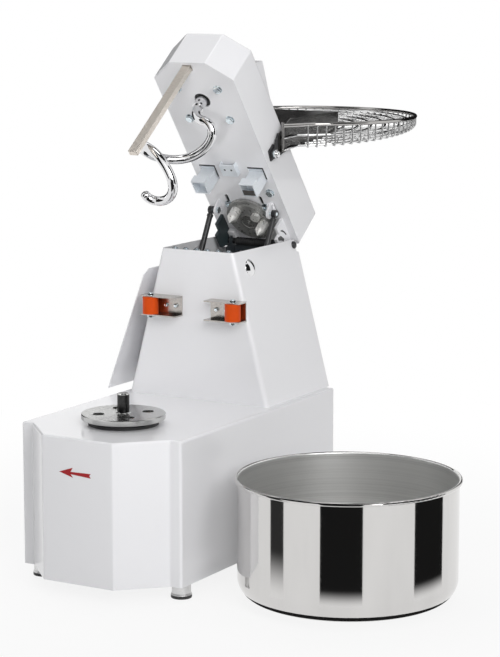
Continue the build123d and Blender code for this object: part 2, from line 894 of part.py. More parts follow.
# Head, in its own frame: the hinge is the origin, -Y points to the nose and +Z up when it is closed
def head_plan():
    right = [(head_half, head_tail), (head_half, -head_shoulder), (head_nose_half, -head_nose)]
    left = [(-x, y) for x, y in reversed(right)]
    return make_face(Polyline(*right, *left, close=True))


def head_cover():
    """Folded cover of the head, open below."""
    outer = Pos(0, 0, head_floor) * extrude(head_plan(), head_height)
    outer = fillet(outer.edges().filter_by(Axis.Z), fold_radius)
    outer = fillet(outer.faces().sort_by(Axis.Z)[-1].edges(), edge_radius)
    plan = offset(head_plan(), -sheet, kind=Kind.INTERSECTION)
    inner = Pos(0, 0, head_floor) * extrude(plan, head_height - sheet)
    inner = fillet(inner.edges().filter_by(Axis.Z), fold_radius - sheet)
    cover = outer - inner
    for x in (-1, 1):
        cover -= cross_rod(guard_pin_radius + bolt_fit, 0, x * 2 * head_half, -guard_station, guard_level)
    return cover


def head_bolt_places():
    """Bolts of the spiral's bearing housing, seen around the spiral under the head."""
    middle = spiral_station - head_bolt_setback
    return [(x, -(middle + y)) for x in (-head_bolt_spread, head_bolt_spread)
            for y in (-head_bolt_pitch, head_bolt_pitch)]


def head_plate():
    """Under plate of the head: everything in the head is bolted to it."""
    plan = offset(head_plan(), -(sheet + seam), kind=Kind.INTERSECTION)
    plate = extrude(plan, head_plate_thickness)
    plate = Pos(0, 0, head_floor) * fillet(plate.edges().filter_by(Axis.Z), fold_radius - sheet)
    low = head_floor - overrun
    high = plate_top + overrun
    plate -= upright(spiral_hole_radius, 0, -spiral_station, low, high)
    plate -= upright(shaft_radius + 2 * sheet, 0, -coupling_station, low, high)
    for x, y in head_bolt_places():
        plate -= upright(head_bolt_radius + bolt_fit, x, y, low, high)
    for x in (-latch_spread, latch_spread):
        half = latch_width / 2 + sheet
        plate -= block(x - half, x + half, -latch_station - latch_length / 2 - sheet,
                       -latch_station + latch_length / 2 + sheet, low, high)
    bar_half = bar_width / 2 + sheet
    plate -= block(bar_offset - bar_half, bar_offset + bar_half, -bar_station - bar_depth / 2 - sheet,
                   -bar_station + bar_depth / 2 + sheet, low, high)
    slot_rear = coupling_station + plate_slot_start
    slot_front = slot_rear + plate_slot_length
    for x in (-plate_slot_offset, plate_slot_offset):
        plate -= block(x - plate_slot_half, x + plate_slot_half, -slot_front, -slot_rear, low, high)
        for station in (slot_front, slot_rear):
            plate -= upright(plate_slot_half, x, -station, low, high)
    plate -= upright(head_bolt_radius + bolt_fit, steady_bolt_offset, -steady_bolt_station, low, high)
    return plate


def spiral_housing():
    """Bearing housing of the spiral, bolted to the under plate."""
    top = head_floor + head_wheel_level - 2 * sheet
    width = head_bolt_spread + 3 * head_bolt_radius
    length = head_bolt_pitch + 3 * head_bolt_radius
    middle = head_bolt_setback - spiral_station
    body = block(-width, width, middle - length, middle + length, plate_top, plate_top + flange_thickness)
    body += upright(housing_radius, 0, -spiral_station, plate_top, top)
    for x, y in head_bolt_places():
        body -= upright(head_bolt_radius + bolt_fit, x, y,
                        plate_top - overrun, plate_top + 2 * flange_thickness)
    body -= upright(bearing_radius, 0, -spiral_station, plate_top, plate_top + bearing_width)
    body -= upright(bearing_radius, 0, -spiral_station, top - bearing_width, top)
    return body - upright(housing_bore_radius, 0, -spiral_station, plate_top, top)


def coupling_housing():
    """Bearing housing of the head's coupling shaft."""
    top = head_floor + head_wheel_level - 2 * sheet
    body = upright(housing_radius, 0, -coupling_station, plate_top, top)
    body += upright(flange_radius, 0, -coupling_station, plate_top, plate_top + flange_thickness)
    body -= upright(bearing_radius, 0, -coupling_station, plate_top, plate_top + bearing_width)
    body -= upright(bearing_radius, 0, -coupling_station, top - bearing_width, top)
    return body - upright(housing_bore_radius, 0, -coupling_station, plate_top, top)


def head_bearings():
    top = head_floor + head_wheel_level - 2 * sheet
    rings = []
    for station, radius in ((spiral_station, spiral_shaft_radius), (coupling_station, shaft_radius)):
        ring = bearing(radius + running_fit, bearing_radius, bearing_width)
        rings += [Pos(0, -station, plate_top) * ring, Pos(0, -station, top - bearing_width) * ring]
    return rings


def head_chain():
    ring = loop_round(-spiral_station, head_wheel_radius, -coupling_station, head_wheel_radius,
                      chain_thickness, chain_width)
    return Pos(0, 0, head_floor + head_wheel_level + (wheel_thickness - chain_width) / 2) * ring


def plate_bolts():
    """Zinc-plated hexagon bolts with their heads under the plate."""
    bolt = hex_bolt(head_bolt_radius, head_plate_thickness + flange_thickness)
    places = head_bolt_places() + [(steady_bolt_offset, -steady_bolt_station)]
    return [Pos(x, y, head_floor) * Rot(180, 0, 0) * bolt for x, y in places]


def dough_bar():
    """Flat steel bar that breaks the dough, held in a pocket of the under plate."""
    bar = block(bar_offset - bar_width / 2, bar_offset + bar_width / 2, -bar_station - bar_depth / 2,
                -bar_station + bar_depth / 2, head_floor - bar_length, plate_top + bar_root)
    return chamfer(bar.faces().sort_by(Axis.Z)[0].edges(), bar_edge)


def bar_clamp():
    """Black seat around the root of the dough bar."""
    half = bar_width / 2
    seat = block(bar_offset - half - bar_root, bar_offset + half + bar_root,
                 -bar_station - bar_depth / 2 - sheet, -bar_station + bar_depth / 2 + bar_root,
                 plate_top, plate_top + bar_root)
    return seat - block(bar_offset - half, bar_offset + half, -bar_station - bar_depth / 2,
                        -bar_station + bar_depth / 2, plate_top - overrun, plate_top + bar_root + overrun)


def latch_blocks():
    """Stepped zinc blocks that centre the head in the column when it is closed."""
    half = latch_width / 2
    front = -latch_station - latch_length / 2
    rear = -latch_station + latch_length / 2
    step = head_floor - latch_step_drop
    body = block(latch_spread - half, latch_spread + half, front + latch_step, rear,
                 step, plate_top + latch_root)
    body += block(latch_spread - half, latch_spread + half, front, rear, head_floor - latch_drop, step)
    body = chamfer(body.faces().sort_by(Axis.Z)[0].edges(), latch_edge)
    body -= block(latch_spread - half + latch_pocket_wall, latch_spread + half - latch_pocket_wall,
                  front + latch_pocket_wall, rear - latch_pocket_wall,
                  head_floor - latch_drop - overrun, head_floor - latch_drop + latch_pocket_depth)
    flange = block(latch_spread - half - latch_root, latch_spread + half + latch_root, front - sheet,
                   rear + latch_root, plate_top, plate_top + latch_flange_thickness)
    return both_sides(body + flange)


def striker_plate():
    """Small drilled channel between the latch blocks, folded up to the under plate at its sides."""
    low = head_floor - striker_drop
    front = -striker_station - striker_half_length
    rear = -striker_station + striker_half_length
    plate = block(-striker_half_width, striker_half_width, front, rear, low, head_floor)
    gap_half = striker_half_width - striker_thickness
    plate -= block(-gap_half, gap_half, front - overrun, rear + overrun,
                   low + striker_thickness, head_floor + overrun)
    for x in (-striker_hole_offset, striker_hole_offset):
        plate -= upright(striker_hole_radius, x, -striker_station - striker_hole_rise,
                         low - overrun, head_floor)
    return plate


def ear_brackets():
    """Rounded lugs under the head that carry the upper ends of the gas struts."""
    pivot_z = head_floor - ear_drop
    outline = [(-ear_station - ear_base_half, head_floor), (-ear_station - ear_lobe_radius, pivot_z),
               (-ear_station + ear_lobe_radius, pivot_z), (-ear_station + ear_base_half, head_floor)]
    ear = side_plate(outline, ear_inner, ear_inner + ear_thickness)
    ear += cross_rod(ear_lobe_radius, ear_inner, ear_inner + ear_thickness, -ear_station, pivot_z)
    ear -= cross_rod(strut_pin_radius + running_fit, 0, 2 * ear_inner, -ear_station, pivot_z)
    return both_sides(ear)


def ear_pins():
    """Bolts through the ears on which the struts swing."""
    pivot_z = head_floor - ear_drop
    end = strut_spread + strut_eye_width / 2 + strut_pin_proud
    pin = cross_rod(strut_pin_radius, ear_inner - sheet, end, -ear_station, pivot_z)
    pin += cross_rod(strut_pin_head, ear_inner - 2 * sheet, ear_inner, -ear_station, pivot_z)
    return both_sides(pin)


def head_hinge_plates():
    """Hinge leaves under the head that turn on the hinge pin."""
    inner = head_hinge_plate_inner
    outer = inner + head_hinge_plate_thickness
    rear = hinge_leaf_rear
    outline = [(rear, head_floor), (rear, 0), (-rear, -hinge_heel_drop),
               (-hinge_heel_reach, -hinge_heel_drop), (-hinge_heel_reach, -hinge_leaf_drop),
               (-hinge_leaf_reach, -hinge_leaf_drop), (-hinge_leaf_reach, head_floor)]
    leaf = side_plate(outline, inner, outer) + cross_rod(hinge_lug_radius, inner, outer, 0, 0)
    leaf -= cross_rod(hinge_pin_radius + running_fit, 0, 2 * outer, 0, 0)
    return both_sides(leaf)


def lift_grip():
    """Folded grip across the top of the head."""
    outline = [(-grip_front, head_roof), (-grip_crest, head_roof + grip_height), (-grip_rear, head_roof)]
    inner = [(-grip_front + grip_wall, head_roof), (-grip_crest + sheet, head_roof + grip_height - grip_wall),
             (-grip_rear - grip_rear_wall, head_roof)]
    grip = side_plate(outline, -grip_half, grip_half)
    return grip - side_plate(inner, -grip_half + sheet, grip_half - sheet)


def guard_brackets():
    """Black hinge blocks of the guard on the head's sides."""
    outer = head_half + guard_bracket_thickness
    half = guard_bracket_half
    cut = guard_bracket_cut
    outline = [(-guard_station - half, guard_level + half), (-guard_station - half, guard_level - cut),
               (-guard_station + cut, guard_level - half), (-guard_station + half, guard_level + cut)]
    plate = side_plate(outline, head_half, outer)
    plate -= cross_rod(guard_pin_radius + running_fit, 0, 2 * outer, -guard_station, guard_level)
    return both_sides(plate)


def guard_pins():
    """Pivot bolts of the guard."""
    end = guard_strap_outer + seam
    pin = cross_rod(guard_pin_radius, head_half - guard_pin_root, end, -guard_station, guard_level)
    pin += cross_rod(guard_pin_head_radius, end, end + guard_pin_head_height, -guard_station, guard_level)
    return both_sides(pin)


# Coupling and spiral, in the head's frame
def upper_coupling():
    """Coupling disc under the head with two pointed drive pins and a short boss."""
    disc = upright(coupling_radius, 0, -coupling_station, coupling_back, coupling_back + coupling_thickness)
    disc = chamfer(disc.edges(), coupling_edge)
    disc += upright(coupling_hub_radius, 0, -coupling_station, coupling_face, coupling_back)
    for angle in coupling_pin_angles:
        turn = math.radians(angle)
        x = coupling_pin_circle * math.cos(turn)
        y = -coupling_station - coupling_pin_circle * math.sin(turn)
        low = coupling_face - coupling_pin_length
        disc += upright(coupling_pin_radius, x, y, low, coupling_face)
        point = Cone(coupling_pin_radius, coupling_pin_tip, coupling_pin_point)
        disc += Pos(x, y, low - coupling_pin_point / 2) * Rot(180, 0, 0) * point
    turn = math.radians(coupling_boss_angle)
    boss_x = coupling_boss_circle * math.cos(turn)
    boss_y = -coupling_station - coupling_boss_circle * math.sin(turn)
    boss_low = coupling_face - coupling_boss_length
    return disc + upright(coupling_boss_radius, boss_x, boss_y, boss_low, coupling_face)


def coupling_shaft():
    """Shaft and chain wheel of the head's coupling."""
    low = head_floor + head_wheel_level
    start = coupling_back + coupling_thickness
    shaft = upright(shaft_radius, 0, -coupling_station, start, low + wheel_thickness)
    wheel = chain_wheel(head_wheel_radius, shaft_radius - sheet, wheel_thickness)
    return shaft + Pos(0, -coupling_station, low) * wheel


def spiral_shaft():
    """Shaft and chain wheel of the spiral, with a collar for the hook."""
    low = head_floor + head_wheel_level
    start = head_floor - spiral_collar_drop
    shaft = upright(spiral_shaft_radius, 0, -spiral_station, start, low + wheel_thickness)
    wheel = chain_wheel(head_wheel_radius, spiral_shaft_radius - sheet, wheel_thickness)
    return shaft + Pos(0, -spiral_station, low) * wheel


def spiral_point(turn):
    """Centre of the hook's bar after a turn in degrees, with the shaft's end as the start."""
    drop = spiral_start_drop + spiral_pitch * (min(turn, spiral_turn_level) - spiral_turn_start) / FULL_TURN
    radius = spiral_radius
    if turn > spiral_turn_level:
        share = (turn - spiral_turn_level) / (spiral_turn_end - spiral_turn_level)
        radius += (spiral_tip_radius - spiral_radius) * share
        drop += spiral_wire_radius * math.sin(math.radians(90 * share))
    angle = math.radians(turn)
    return Vector(radius * math.cos(angle), -spiral_station + radius * math.sin(angle), head_floor - drop)


def biarc(start, start_way, end, end_way):
    """Two tangent arcs from one point and direction to another."""
    chord = end - start
    ways = start_way + end_way
    bend = 2 * (1 - start_way.dot(end_way))
    reach = (math.sqrt(chord.dot(ways) ** 2 + bend * chord.dot(chord)) - chord.dot(ways)) / bend
    middle = (start + end + (start_way - end_way) * reach) * 0.5
    first = TangentArc(start, middle, tangent=start_way)
    second = TangentArc(middle, end, tangent=first % 1)
    return [first, second]


def spiral_hook():
    """Spiral tool: a round bar that winds down from the shaft and curls in at its tip."""
    start = Vector(0, -spiral_station, head_floor - spiral_collar_drop)
    edges = []
    way = Vector(0, 0, -1)
    for stop in range(spiral_stops + 1):
        turn = spiral_turn_start + (spiral_turn_end - spiral_turn_start) * stop / spiral_stops
        end = spiral_point(turn)
        before = spiral_point(turn - spiral_tangent_step)
        end_way = (spiral_point(turn + spiral_tangent_step) - before).normalized()
        edges += biarc(start, way, end, end_way)
        start = end
        way = edges[-1] % 1
    path = Wire(edges)
    return sweep(Plane(path @ 0, z_dir=path % 0) * Circle(spiral_wire_radius), path)


# Guard, in its own frame: its pivot is the origin, -Y points to the front and +Z up when it is closed
def guard_depth(y):
    """Height of the wire grid above the rim, less towards the front."""
    near = -guard_reach + guard_radius
    far = -guard_reach - guard_radius
    return guard_depth_far + (guard_depth_near - guard_depth_far) * (y - far) / (near - far)


def grid_level(y):
    """Height of the spokes' centre line."""
    return guard_depth(y) - guard_rim_drop


def cutout_front():
    """How far the head's cut-out stops behind the middle of the rings."""
    return guard_reach - guard_wall_front - 2 * guard_wire


def open_angle(radius):
    """Angle from the rear at which a ring of this radius leaves the head's cut-out."""
    side = guard_wall_half + 2 * guard_wire
    past_front = math.acos(cutout_front() / radius)
    past_side = math.asin(min(1, side / radius))
    return math.degrees(min(past_front, past_side))


def ring_arc(radius, wire, start, end):
    """Part of a ring on the XY plane, between two angles from the rear."""
    section = Plane.XZ * Pos(radius, 0) * Circle(wire)
    arc = revolve(section, Axis.Z, end - start)
    return Rot(0, 0, 90 + start) * arc


def guard_rim():
    """Heavy rim wire that lies over the bowl's edge, drawn in to the posts beside the head."""
    start = math.degrees(math.asin(guard_rim_bend_half / guard_radius))
    arc = ring_arc(guard_radius, guard_rim_wire, start, FULL_TURN - start)
    rim = Pos(0, -guard_reach, -guard_rim_drop) * arc
    bend_y = -guard_reach + guard_radius * math.cos(math.radians(start))
    for side in (-1, 1):
        bend = (side * guard_rim_bend_half, bend_y, -guard_rim_drop)
        rim += Pos(*bend) * Sphere(guard_rim_wire + weld_gap)
        rim += rod(guard_rim_wire, bend, (side * guard_post_x, -guard_post_station, -guard_rim_drop))
        rim += upright(guard_post_radius, side * guard_post_x, -guard_post_station,
                       -guard_rim_drop - guard_post_foot, grid_level(-guard_post_station))
    return rim


def grid_tilt(share):
    """Slope of a ring that lies a share of the way up from the rim to the grid, in radians."""
    return math.atan2((guard_depth_near - guard_depth_far) * share, 2 * guard_radius)


def grid_place(share, drop):
    """Place of a ring that lies a share of the way up from the rim to the grid."""
    lift = guard_depth(-guard_reach) * share - guard_rim_drop - drop
    return Pos(0, -guard_reach, lift) * Rot(math.degrees(grid_tilt(share)), 0, 0)


def ring_rail(radius, tilt, side):
    """Straight wire, with a rounded elbow, from the end of a ring to the post beside the head."""
    turn = math.radians(open_angle(radius))
    elbow = (side * radius * math.sin(turn), radius * math.cos(turn), 0)
    post_y = guard_reach - guard_post_station - guard_post_radius - seam
    end = (side * guard_post_x, post_y / math.cos(tilt), 0)
    return rod(guard_wire, elbow, end) + Pos(*elbow) * Sphere(guard_wire)


def guard_rings():
    """Rings of the wire grid, under its spokes, and the band half way up its side."""
    outer = guard_radius - guard_bend
    place = grid_place(1, guard_wire + guard_spoke_wire + weld_gap)
    rings = []
    for ring in range(guard_ring_count):
        radius = outer - guard_ring_step * ring
        start = open_angle(radius)
        wire = ring_arc(radius, guard_wire, start, FULL_TURN - start)
        if ring == 0:
            wire = wire + ring_rail(radius, grid_tilt(1), -1) + ring_rail(radius, grid_tilt(1), 1)
        rings.append(place * wire)
    band_radius = guard_radius - guard_spoke_wire - guard_wire - weld_gap
    start = open_angle(band_radius)
    band = grid_place(guard_band_share, 0)
    left = ring_arc(band_radius, guard_wire, start, guard_band_end)
    rings.append(band * (left + ring_rail(band_radius, grid_tilt(guard_band_share), -1)))
    right = ring_arc(band_radius, guard_wire, FULL_TURN - guard_band_end, FULL_TURN - start)
    rings.append(band * (right + ring_rail(band_radius, grid_tilt(guard_band_share), 1)))
    return rings


def guard_spoke(angle, inner):
    """A spoke that rises from the rim and bends in over the rings."""
    way_x = -math.sin(math.radians(angle))
    way_y = math.cos(math.radians(angle))
    foot_level = guard_rim_wire - guard_rim_drop + weld_gap
    foot = (guard_radius * way_x, guard_radius * way_y - guard_reach, foot_level)
    corner = (foot[0], foot[1], grid_level(foot[1]))
    tip_y = inner * way_y - guard_reach
    tip = (inner * way_x, tip_y, grid_level(tip_y))
    bend = min(guard_bend, guard_spoke_bend_share * (corner[2] - foot[2]))
    path = FilletPolyline(foot, corner, tip, radius=bend)
    return sweep(Plane(foot, z_dir=(0, 0, 1)) * Circle(guard_spoke_wire), path)


def guard_spokes():
    """Spokes of the grid, long and short in turn, that stop at the wall around the head."""
    side = guard_wall_half + guard_spoke_wire + weld_gap
    first = open_angle(guard_radius - guard_bend) + guard_spoke_step
    count = int((180 - first) / guard_spoke_step)
    spokes = []
    for spoke in range(-count, count + 1):
        angle = 180 + guard_spoke_step * spoke
        inner = guard_spoke_short if spoke % 2 else guard_spoke_long
        across = abs(math.sin(math.radians(angle)))
        back = math.cos(math.radians(angle))
        if back > 0 and side * back / across > cutout_front():
            inner = max(inner, side / across)
        spokes.append(guard_spoke(angle, inner))
    return spokes


def guard_wall():
    """Folded sheet wall that closes the guard around the head's nose."""
    inner_half = guard_wall_half - guard_wall_sheet
    front = -guard_wall_front
    rear = -guard_wall_rear
    outline = [(front, -guard_wall_low), (rear - guard_wall_cut_length, -guard_wall_low),
               (rear, -guard_wall_low + guard_wall_cut_height), (rear, grid_level(rear)),
               (front, grid_level(front))]
    wall = side_plate(outline, -guard_wall_half, guard_wall_half)
    return wall - block(-inner_half, inner_half, front + guard_wall_sheet, rear + overrun,
                        -2 * guard_wall_low, guard_wall_low)


def guard_straps():
    """Black hinge straps that join the guard's wall to its pivot bolts."""
    size = guard_lug_radius
    end = -guard_strap_length
    outline = [(0, size), (end, grid_level(end)), (end, -guard_wall_low + guard_wall_cut_height),
               (-guard_wall_rear, -guard_wall_low + guard_wall_cut_height), (0, -size)]
    strap = side_plate(outline, guard_strap_inner, guard_strap_outer)
    strap += cross_rod(size, guard_strap_inner, guard_strap_outer, 0, 0)
    strap -= cross_rod(guard_pin_radius + running_fit, 0, 2 * guard_strap_outer, 0, 0)
    return both_sides(strap)


# Gas struts, at rest with the head up
def strut_ends():
    """The strut's upper pivot and its anchor in the column, as (y, z)."""
    top = HEAD * Pos(0, -ear_station, head_floor - ear_drop)
    return (top.position.Y, top.position.Z), (strut_anchor_y, strut_anchor_z)


def strut_point(share_length):
    """A point on the strut's axis, a length below its upper pivot."""
    (top_y, top_z), (low_y, low_z) = strut_ends()
    length = math.hypot(low_y - top_y, low_z - top_z)
    return (strut_spread, top_y + (low_y - top_y) * share_length / length,
            top_z + (low_z - top_z) * share_length / length)


def strut_length():
    (top_y, top_z), (low_y, low_z) = strut_ends()
    return math.hypot(low_y - top_y, low_z - top_z)


def strut_eye(length, radius, hole):
    """A flat eye across X, at a length along the strut."""
    x, y, z = strut_point(length)
    half = strut_eye_width / 2
    eye = cross_rod(radius, x - half, x + half, y, z)
    return eye - cross_rod(hole, x - 2 * half, x + 2 * half, y, z)


def strut_tubes():
    """Cylinders of the gas struts, hung from the head."""
    bore_start = strut_point(strut_tube_start + strut_tube_roof)
    tube = rod(strut_tube_radius, strut_point(strut_tube_start), strut_point(strut_tube_length))
    bore_end = strut_point(strut_tube_length - strut_tube_gland)
    tube -= rod(strut_tube_radius - strut_tube_wall, bore_start, bore_end)
    tube -= rod(strut_rod_radius + running_fit, bore_start, strut_point(strut_tube_length + overrun))
    neck = rod(strut_rod_radius, strut_point(strut_neck_start), strut_point(strut_tube_start))
    return both_sides(tube + neck + strut_eye(0, strut_eye_radius, strut_pin_radius + running_fit))


def strut_rods():
    """Rods of the gas struts: each ends in a wide eye around its anchor pin."""
    eye_hole = strut_pin_radius + strut_anchor_play
    eye_radius = eye_hole + 2 * sheet
    length = strut_length()
    bar = rod(strut_rod_radius, strut_point(strut_tube_length - strut_rod_engaged),
              strut_point(length - eye_hole - sheet))
    return both_sides(bar + strut_eye(length, eye_radius, eye_hole))


def strut_anchors():
    """Anchor pins of the struts on the frame plates."""
    pin = cross_rod(strut_pin_radius, frame_plate_inner, strut_spread + strut_eye_width,
                    strut_anchor_y, strut_anchor_z)
    return both_sides(pin)


# Control panel on the left-hand side
def panel_frame():
    """Place of the panel: X runs up its slope, Y to the rear and Z out of its outer face."""
    low_z = cabinet_top + panel_low_gap
    low_x = -(column_half(low_z) + panel_foot_out)
    high_x = -(column_half(panel_top) + panel_top_out)
    slope = Vector(high_x - low_x, 0, panel_top - low_z)
    out = slope.cross(Vector(0, 1, 0)).normalized()
    return Plane((low_x, column_setback, low_z), x_dir=slope.normalized(), z_dir=out)


def panel_height():
    low_z = cabinet_top + panel_low_gap
    low_x = column_half(low_z) + panel_foot_out
    high_x = column_half(panel_top) + panel_top_out
    return math.hypot(low_x - high_x, panel_top - low_z)


def control_panel():
    """Flat panel that stands off the column's left side, with a cut front corner."""
    height = panel_height()
    outline = [(0, 0), (height - panel_corner, 0), (height, panel_corner),
               (height, panel_length), (0, panel_length)]
    plate = extrude(make_face(Polyline(*outline, close=True)), -sheet)
    for place in button_places():
        plate -= Pos(*place, 0) * Cylinder(button_stem_radius + bolt_fit, 4 * sheet)
    return panel_frame() * plate


def button_places():
    """Start and stop buttons, as places on the panel."""
    return [(button_rise, (panel_length + side * button_spacing) / 2) for side in (-1, 1)]


def push_button(place):
    """A push button with its stem through the panel."""
    cap = Pos(0, 0, button_travel + button_height / 2) * Cylinder(button_radius, button_height)
    cap = fillet(cap.faces().sort_by(Axis.Z)[-1].edges(), button_edge)
    stem = Cylinder(button_stem_radius, panel_skin)
    return panel_frame() * Pos(*place, 0) * (cap + stem)


def electrical_box():
    """Closed box between the column's side and the panel that holds the switchgear."""
    low_z = cabinet_top + box_low_gap
    high_z = panel_top - box_top_gap
    frame = panel_frame()
    face = []
    for z in (low_z, high_z):
        up = (z - frame.origin.Z) / frame.x_dir.Z
        edge = frame.origin + frame.x_dir * up
        face.append((edge.X + panel_skin / abs(frame.z_dir.X), edge.Z))
    y = column_setback + box_setback
    outline = [(-column_half(low_z) - seam, y, low_z), (face[0][0], y, low_z),
               (face[1][0], y, high_z), (-column_half(high_z) - seam, y, high_z)]
    return extrude(make_face(Polyline(*outline, close=True)), box_length, dir=(0, 1, 0))


def panel_spacers():
    """Spacers between the panel and the electrical box."""
    spacers = []
    for rise in spacer_rises:
        for share in spacer_shares:
            place = (panel_height() * rise, box_setback + box_length * share)
            post = Pos(*place, -(panel_skin + sheet) / 2) * Cylinder(spacer_radius, panel_skin - sheet)
            spacers.append(panel_frame() * post)
    return spacers


def cable_gland():
    """Gland for the mains lead, low in the cabinet's rear wall."""
    x = -gland_offset
    z = gland_level
    nut = rod(gland_radius, (x, cabinet_tail, z), (x, cabinet_tail + gland_nut, z))
    nut += rod(gland_neck_radius, (x, cabinet_tail, z), (x, cabinet_tail + gland_length, z))
    bore_end = (x, cabinet_tail + gland_length + overrun, z)
    return nut - rod(gland_bore_radius, (x, cabinet_tail + sheet, z), bore_end)


# Bowl, standing on the floor
def bowl_shell():
    """Drawn steel bowl with a rolled rim."""
    bottom = bowl_foot_height
    height = bowl_depth + bowl_wall
    outer = Pos(0, 0, height / 2) * Cylinder(bowl_outer, height)
    outer = fillet(outer.faces().sort_by(Axis.Z)[0].edges(), bowl_corner + bowl_wall)
    inner = Pos(0, 0, bowl_wall + bowl_depth / 2) * Cylinder(bowl_radius, bowl_depth)
    inner = fillet(inner.faces().sort_by(Axis.Z)[0].edges(), bowl_corner)
    shell = outer - inner
    rim = Pos(0, 0, height) * Torus(bowl_outer + bowl_rim_radius - bowl_wall, bowl_rim_radius)
    shell = shell + rim
    shell -= Pos(0, 0, bowl_wall / 2) * Cylinder(bowl_hub_radius + seam, 2 * bowl_wall)
    return Pos(bowl_x, bowl_stand_y, bottom) * shell


def bowl_base():
    """Foot ring, drive pegs and the hub that drops over the spindle."""
    top = bowl_foot_height
    plate_low = top - bowl_plate_thickness
    base = upright(bowl_foot_radius, 0, 0, plate_low, top)
    ring = upright(bowl_foot_radius, 0, 0, 0, plate_low)
    base += ring - upright(bowl_foot_radius - bowl_foot_wall, 0, 0, -overrun, plate_low)
    for x, y in drive_hole_places():
        base += upright(bowl_peg_radius, x, y, plate_low - bowl_peg_length, plate_low)
    hub = upright(bowl_hub_radius, 0, 0, plate_low, plate_low + spindle_height + bowl_hub_roof)
    base += fillet(hub.faces().sort_by(Axis.Z)[-1].edges(), bowl_hub_edge)
    base -= upright(spindle_radius + bolt_fit, 0, 0, plate_low - overrun, plate_low + spindle_height + sheet)
    return Pos(bowl_x, bowl_stand_y, 0) * base


def on_head(pieces):
    return [HEAD * piece for piece in pieces]


def on_guard(pieces):
    return [GUARD * piece for piece in pieces]


os.makedirs("parts", exist_ok=True)

# Frame
save("cabinet_shell", cabinet_shell())
save("floor_pan", floor_pan())
save("foot_stubs", *foot_stubs())
save("foot_pads", *foot_pads())
save("column_shell", column_shell())
save("rear_cover", rear_tray())
save("frame_plates", *frame_plates())
save("cross_plates", front_bridge(), deck_plate())
save("frame_bolts", *bridge_bolts(), *bracket_screws())
save("frame_pins", hinge_pin(), *strut_anchors(), *roller_pins())
save("hinge_sleeve", hinge_sleeve())
save("cap_bolts", *cap_bolts())
save("roller_brackets", *roller_brackets())
save("shaft_housing", shaft_housing())
save("shaft_bearings", *shaft_bearings(), *spindle_bearings(), *foot_bearings())
save("spindle_housing", spindle_housing())
save("spindle_seal", spindle_seal())
save("drive_motor", drive_motor())
save("drive_belt", drive_belt())
save("bowl_chain", bowl_chain())
save("electrical_box", electrical_box(), *panel_spacers())
save("control_panel", control_panel())
save("cable_gland", cable_gland())

# Guide rollers
right_roller, left_roller = both_sides(roller())
save("roller_right", right_roller)
save("roller_left", left_roller)

# Turning parts in the column and cabinet
save("upright_shaft", upright_shaft())
save("lower_coupling", lower_coupling())
save("shaft_wheels", shaft_pulley(), shaft_pinion())
save("motor_pulley", motor_pulley())
save("drive_plate", drive_plate())
save("bowl_spindle", bowl_spindle())
save("spindle_wheel", spindle_wheel())

# Head
save("head_cover", *on_head([head_cover()]))
save("head_plate", *on_head([head_plate()]))
save("spiral_housing", *on_head([spiral_housing(), coupling_housing()]))
save("head_bearings", *on_head(head_bearings()))
save("head_chain", *on_head([head_chain()]))
save("head_bolts", *on_head(plate_bolts() + guard_pins() + ear_pins()))
save("dough_bar", *on_head([dough_bar()]))
save("bar_clamp", *on_head([bar_clamp()]))
save("latch_blocks", *on_head(latch_blocks()))
save("striker_plate", *on_head([striker_plate()]))
save("ear_brackets", *on_head(ear_brackets()))
save("head_hinge_plates", *on_head(head_hinge_plates()))
save("lift_grip", *on_head([lift_grip()]))
save("guard_brackets", *on_head(guard_brackets()))

# Coupling and spiral
save("upper_coupling", *on_head([upper_coupling(), coupling_shaft()]))
save("spiral_shaft", *on_head([spiral_shaft()]))
save("spiral_hook", *on_head([spiral_hook()]))

# Guard
save("guard_rim", *on_guard([guard_rim()]))
save("guard_rings", *on_guard(guard_rings()))
save("guard_spokes", *on_guard(guard_spokes()))
save("guard_wall", *on_guard([guard_wall()]))
save("guard_straps", *on_guard(guard_straps()))

# Struts, buttons and bowl
save("strut_tubes", *strut_tubes())
save("strut_rods", *strut_rods())
start_place, stop_place = button_places()
save("start_button", push_button(start_place))
save("stop_button", push_button(stop_place))
save("bowl_shell", bowl_shell())
save("bowl_base", bowl_base())
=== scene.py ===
import bpy
import bmesh
import json
import math
from mathutils import Matrix, Vector


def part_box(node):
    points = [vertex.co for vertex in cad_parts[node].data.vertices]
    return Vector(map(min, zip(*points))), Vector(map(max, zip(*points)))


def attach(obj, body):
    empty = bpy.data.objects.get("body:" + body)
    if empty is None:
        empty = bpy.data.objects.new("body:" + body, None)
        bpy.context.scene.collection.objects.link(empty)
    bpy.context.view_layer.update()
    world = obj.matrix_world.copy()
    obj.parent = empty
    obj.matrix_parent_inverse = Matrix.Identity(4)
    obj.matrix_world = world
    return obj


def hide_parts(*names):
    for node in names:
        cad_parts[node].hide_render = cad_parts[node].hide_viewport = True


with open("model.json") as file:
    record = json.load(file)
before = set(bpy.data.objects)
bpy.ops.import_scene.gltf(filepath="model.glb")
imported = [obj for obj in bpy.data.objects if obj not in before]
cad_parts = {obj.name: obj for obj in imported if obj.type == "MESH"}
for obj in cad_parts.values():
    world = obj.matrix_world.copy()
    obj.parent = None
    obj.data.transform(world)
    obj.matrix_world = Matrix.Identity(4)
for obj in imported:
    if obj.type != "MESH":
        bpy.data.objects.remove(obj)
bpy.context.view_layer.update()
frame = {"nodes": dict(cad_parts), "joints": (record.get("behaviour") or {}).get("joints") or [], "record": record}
nodes = frame["nodes"]
scene = bpy.context.scene
scene.view_settings.view_transform = "Standard"

# Places read from the frame, in millimetres
MM = 0.001
KEPT_DIGITS = 3
JOINTS = {joint["name"]: joint for joint in frame["joints"]}


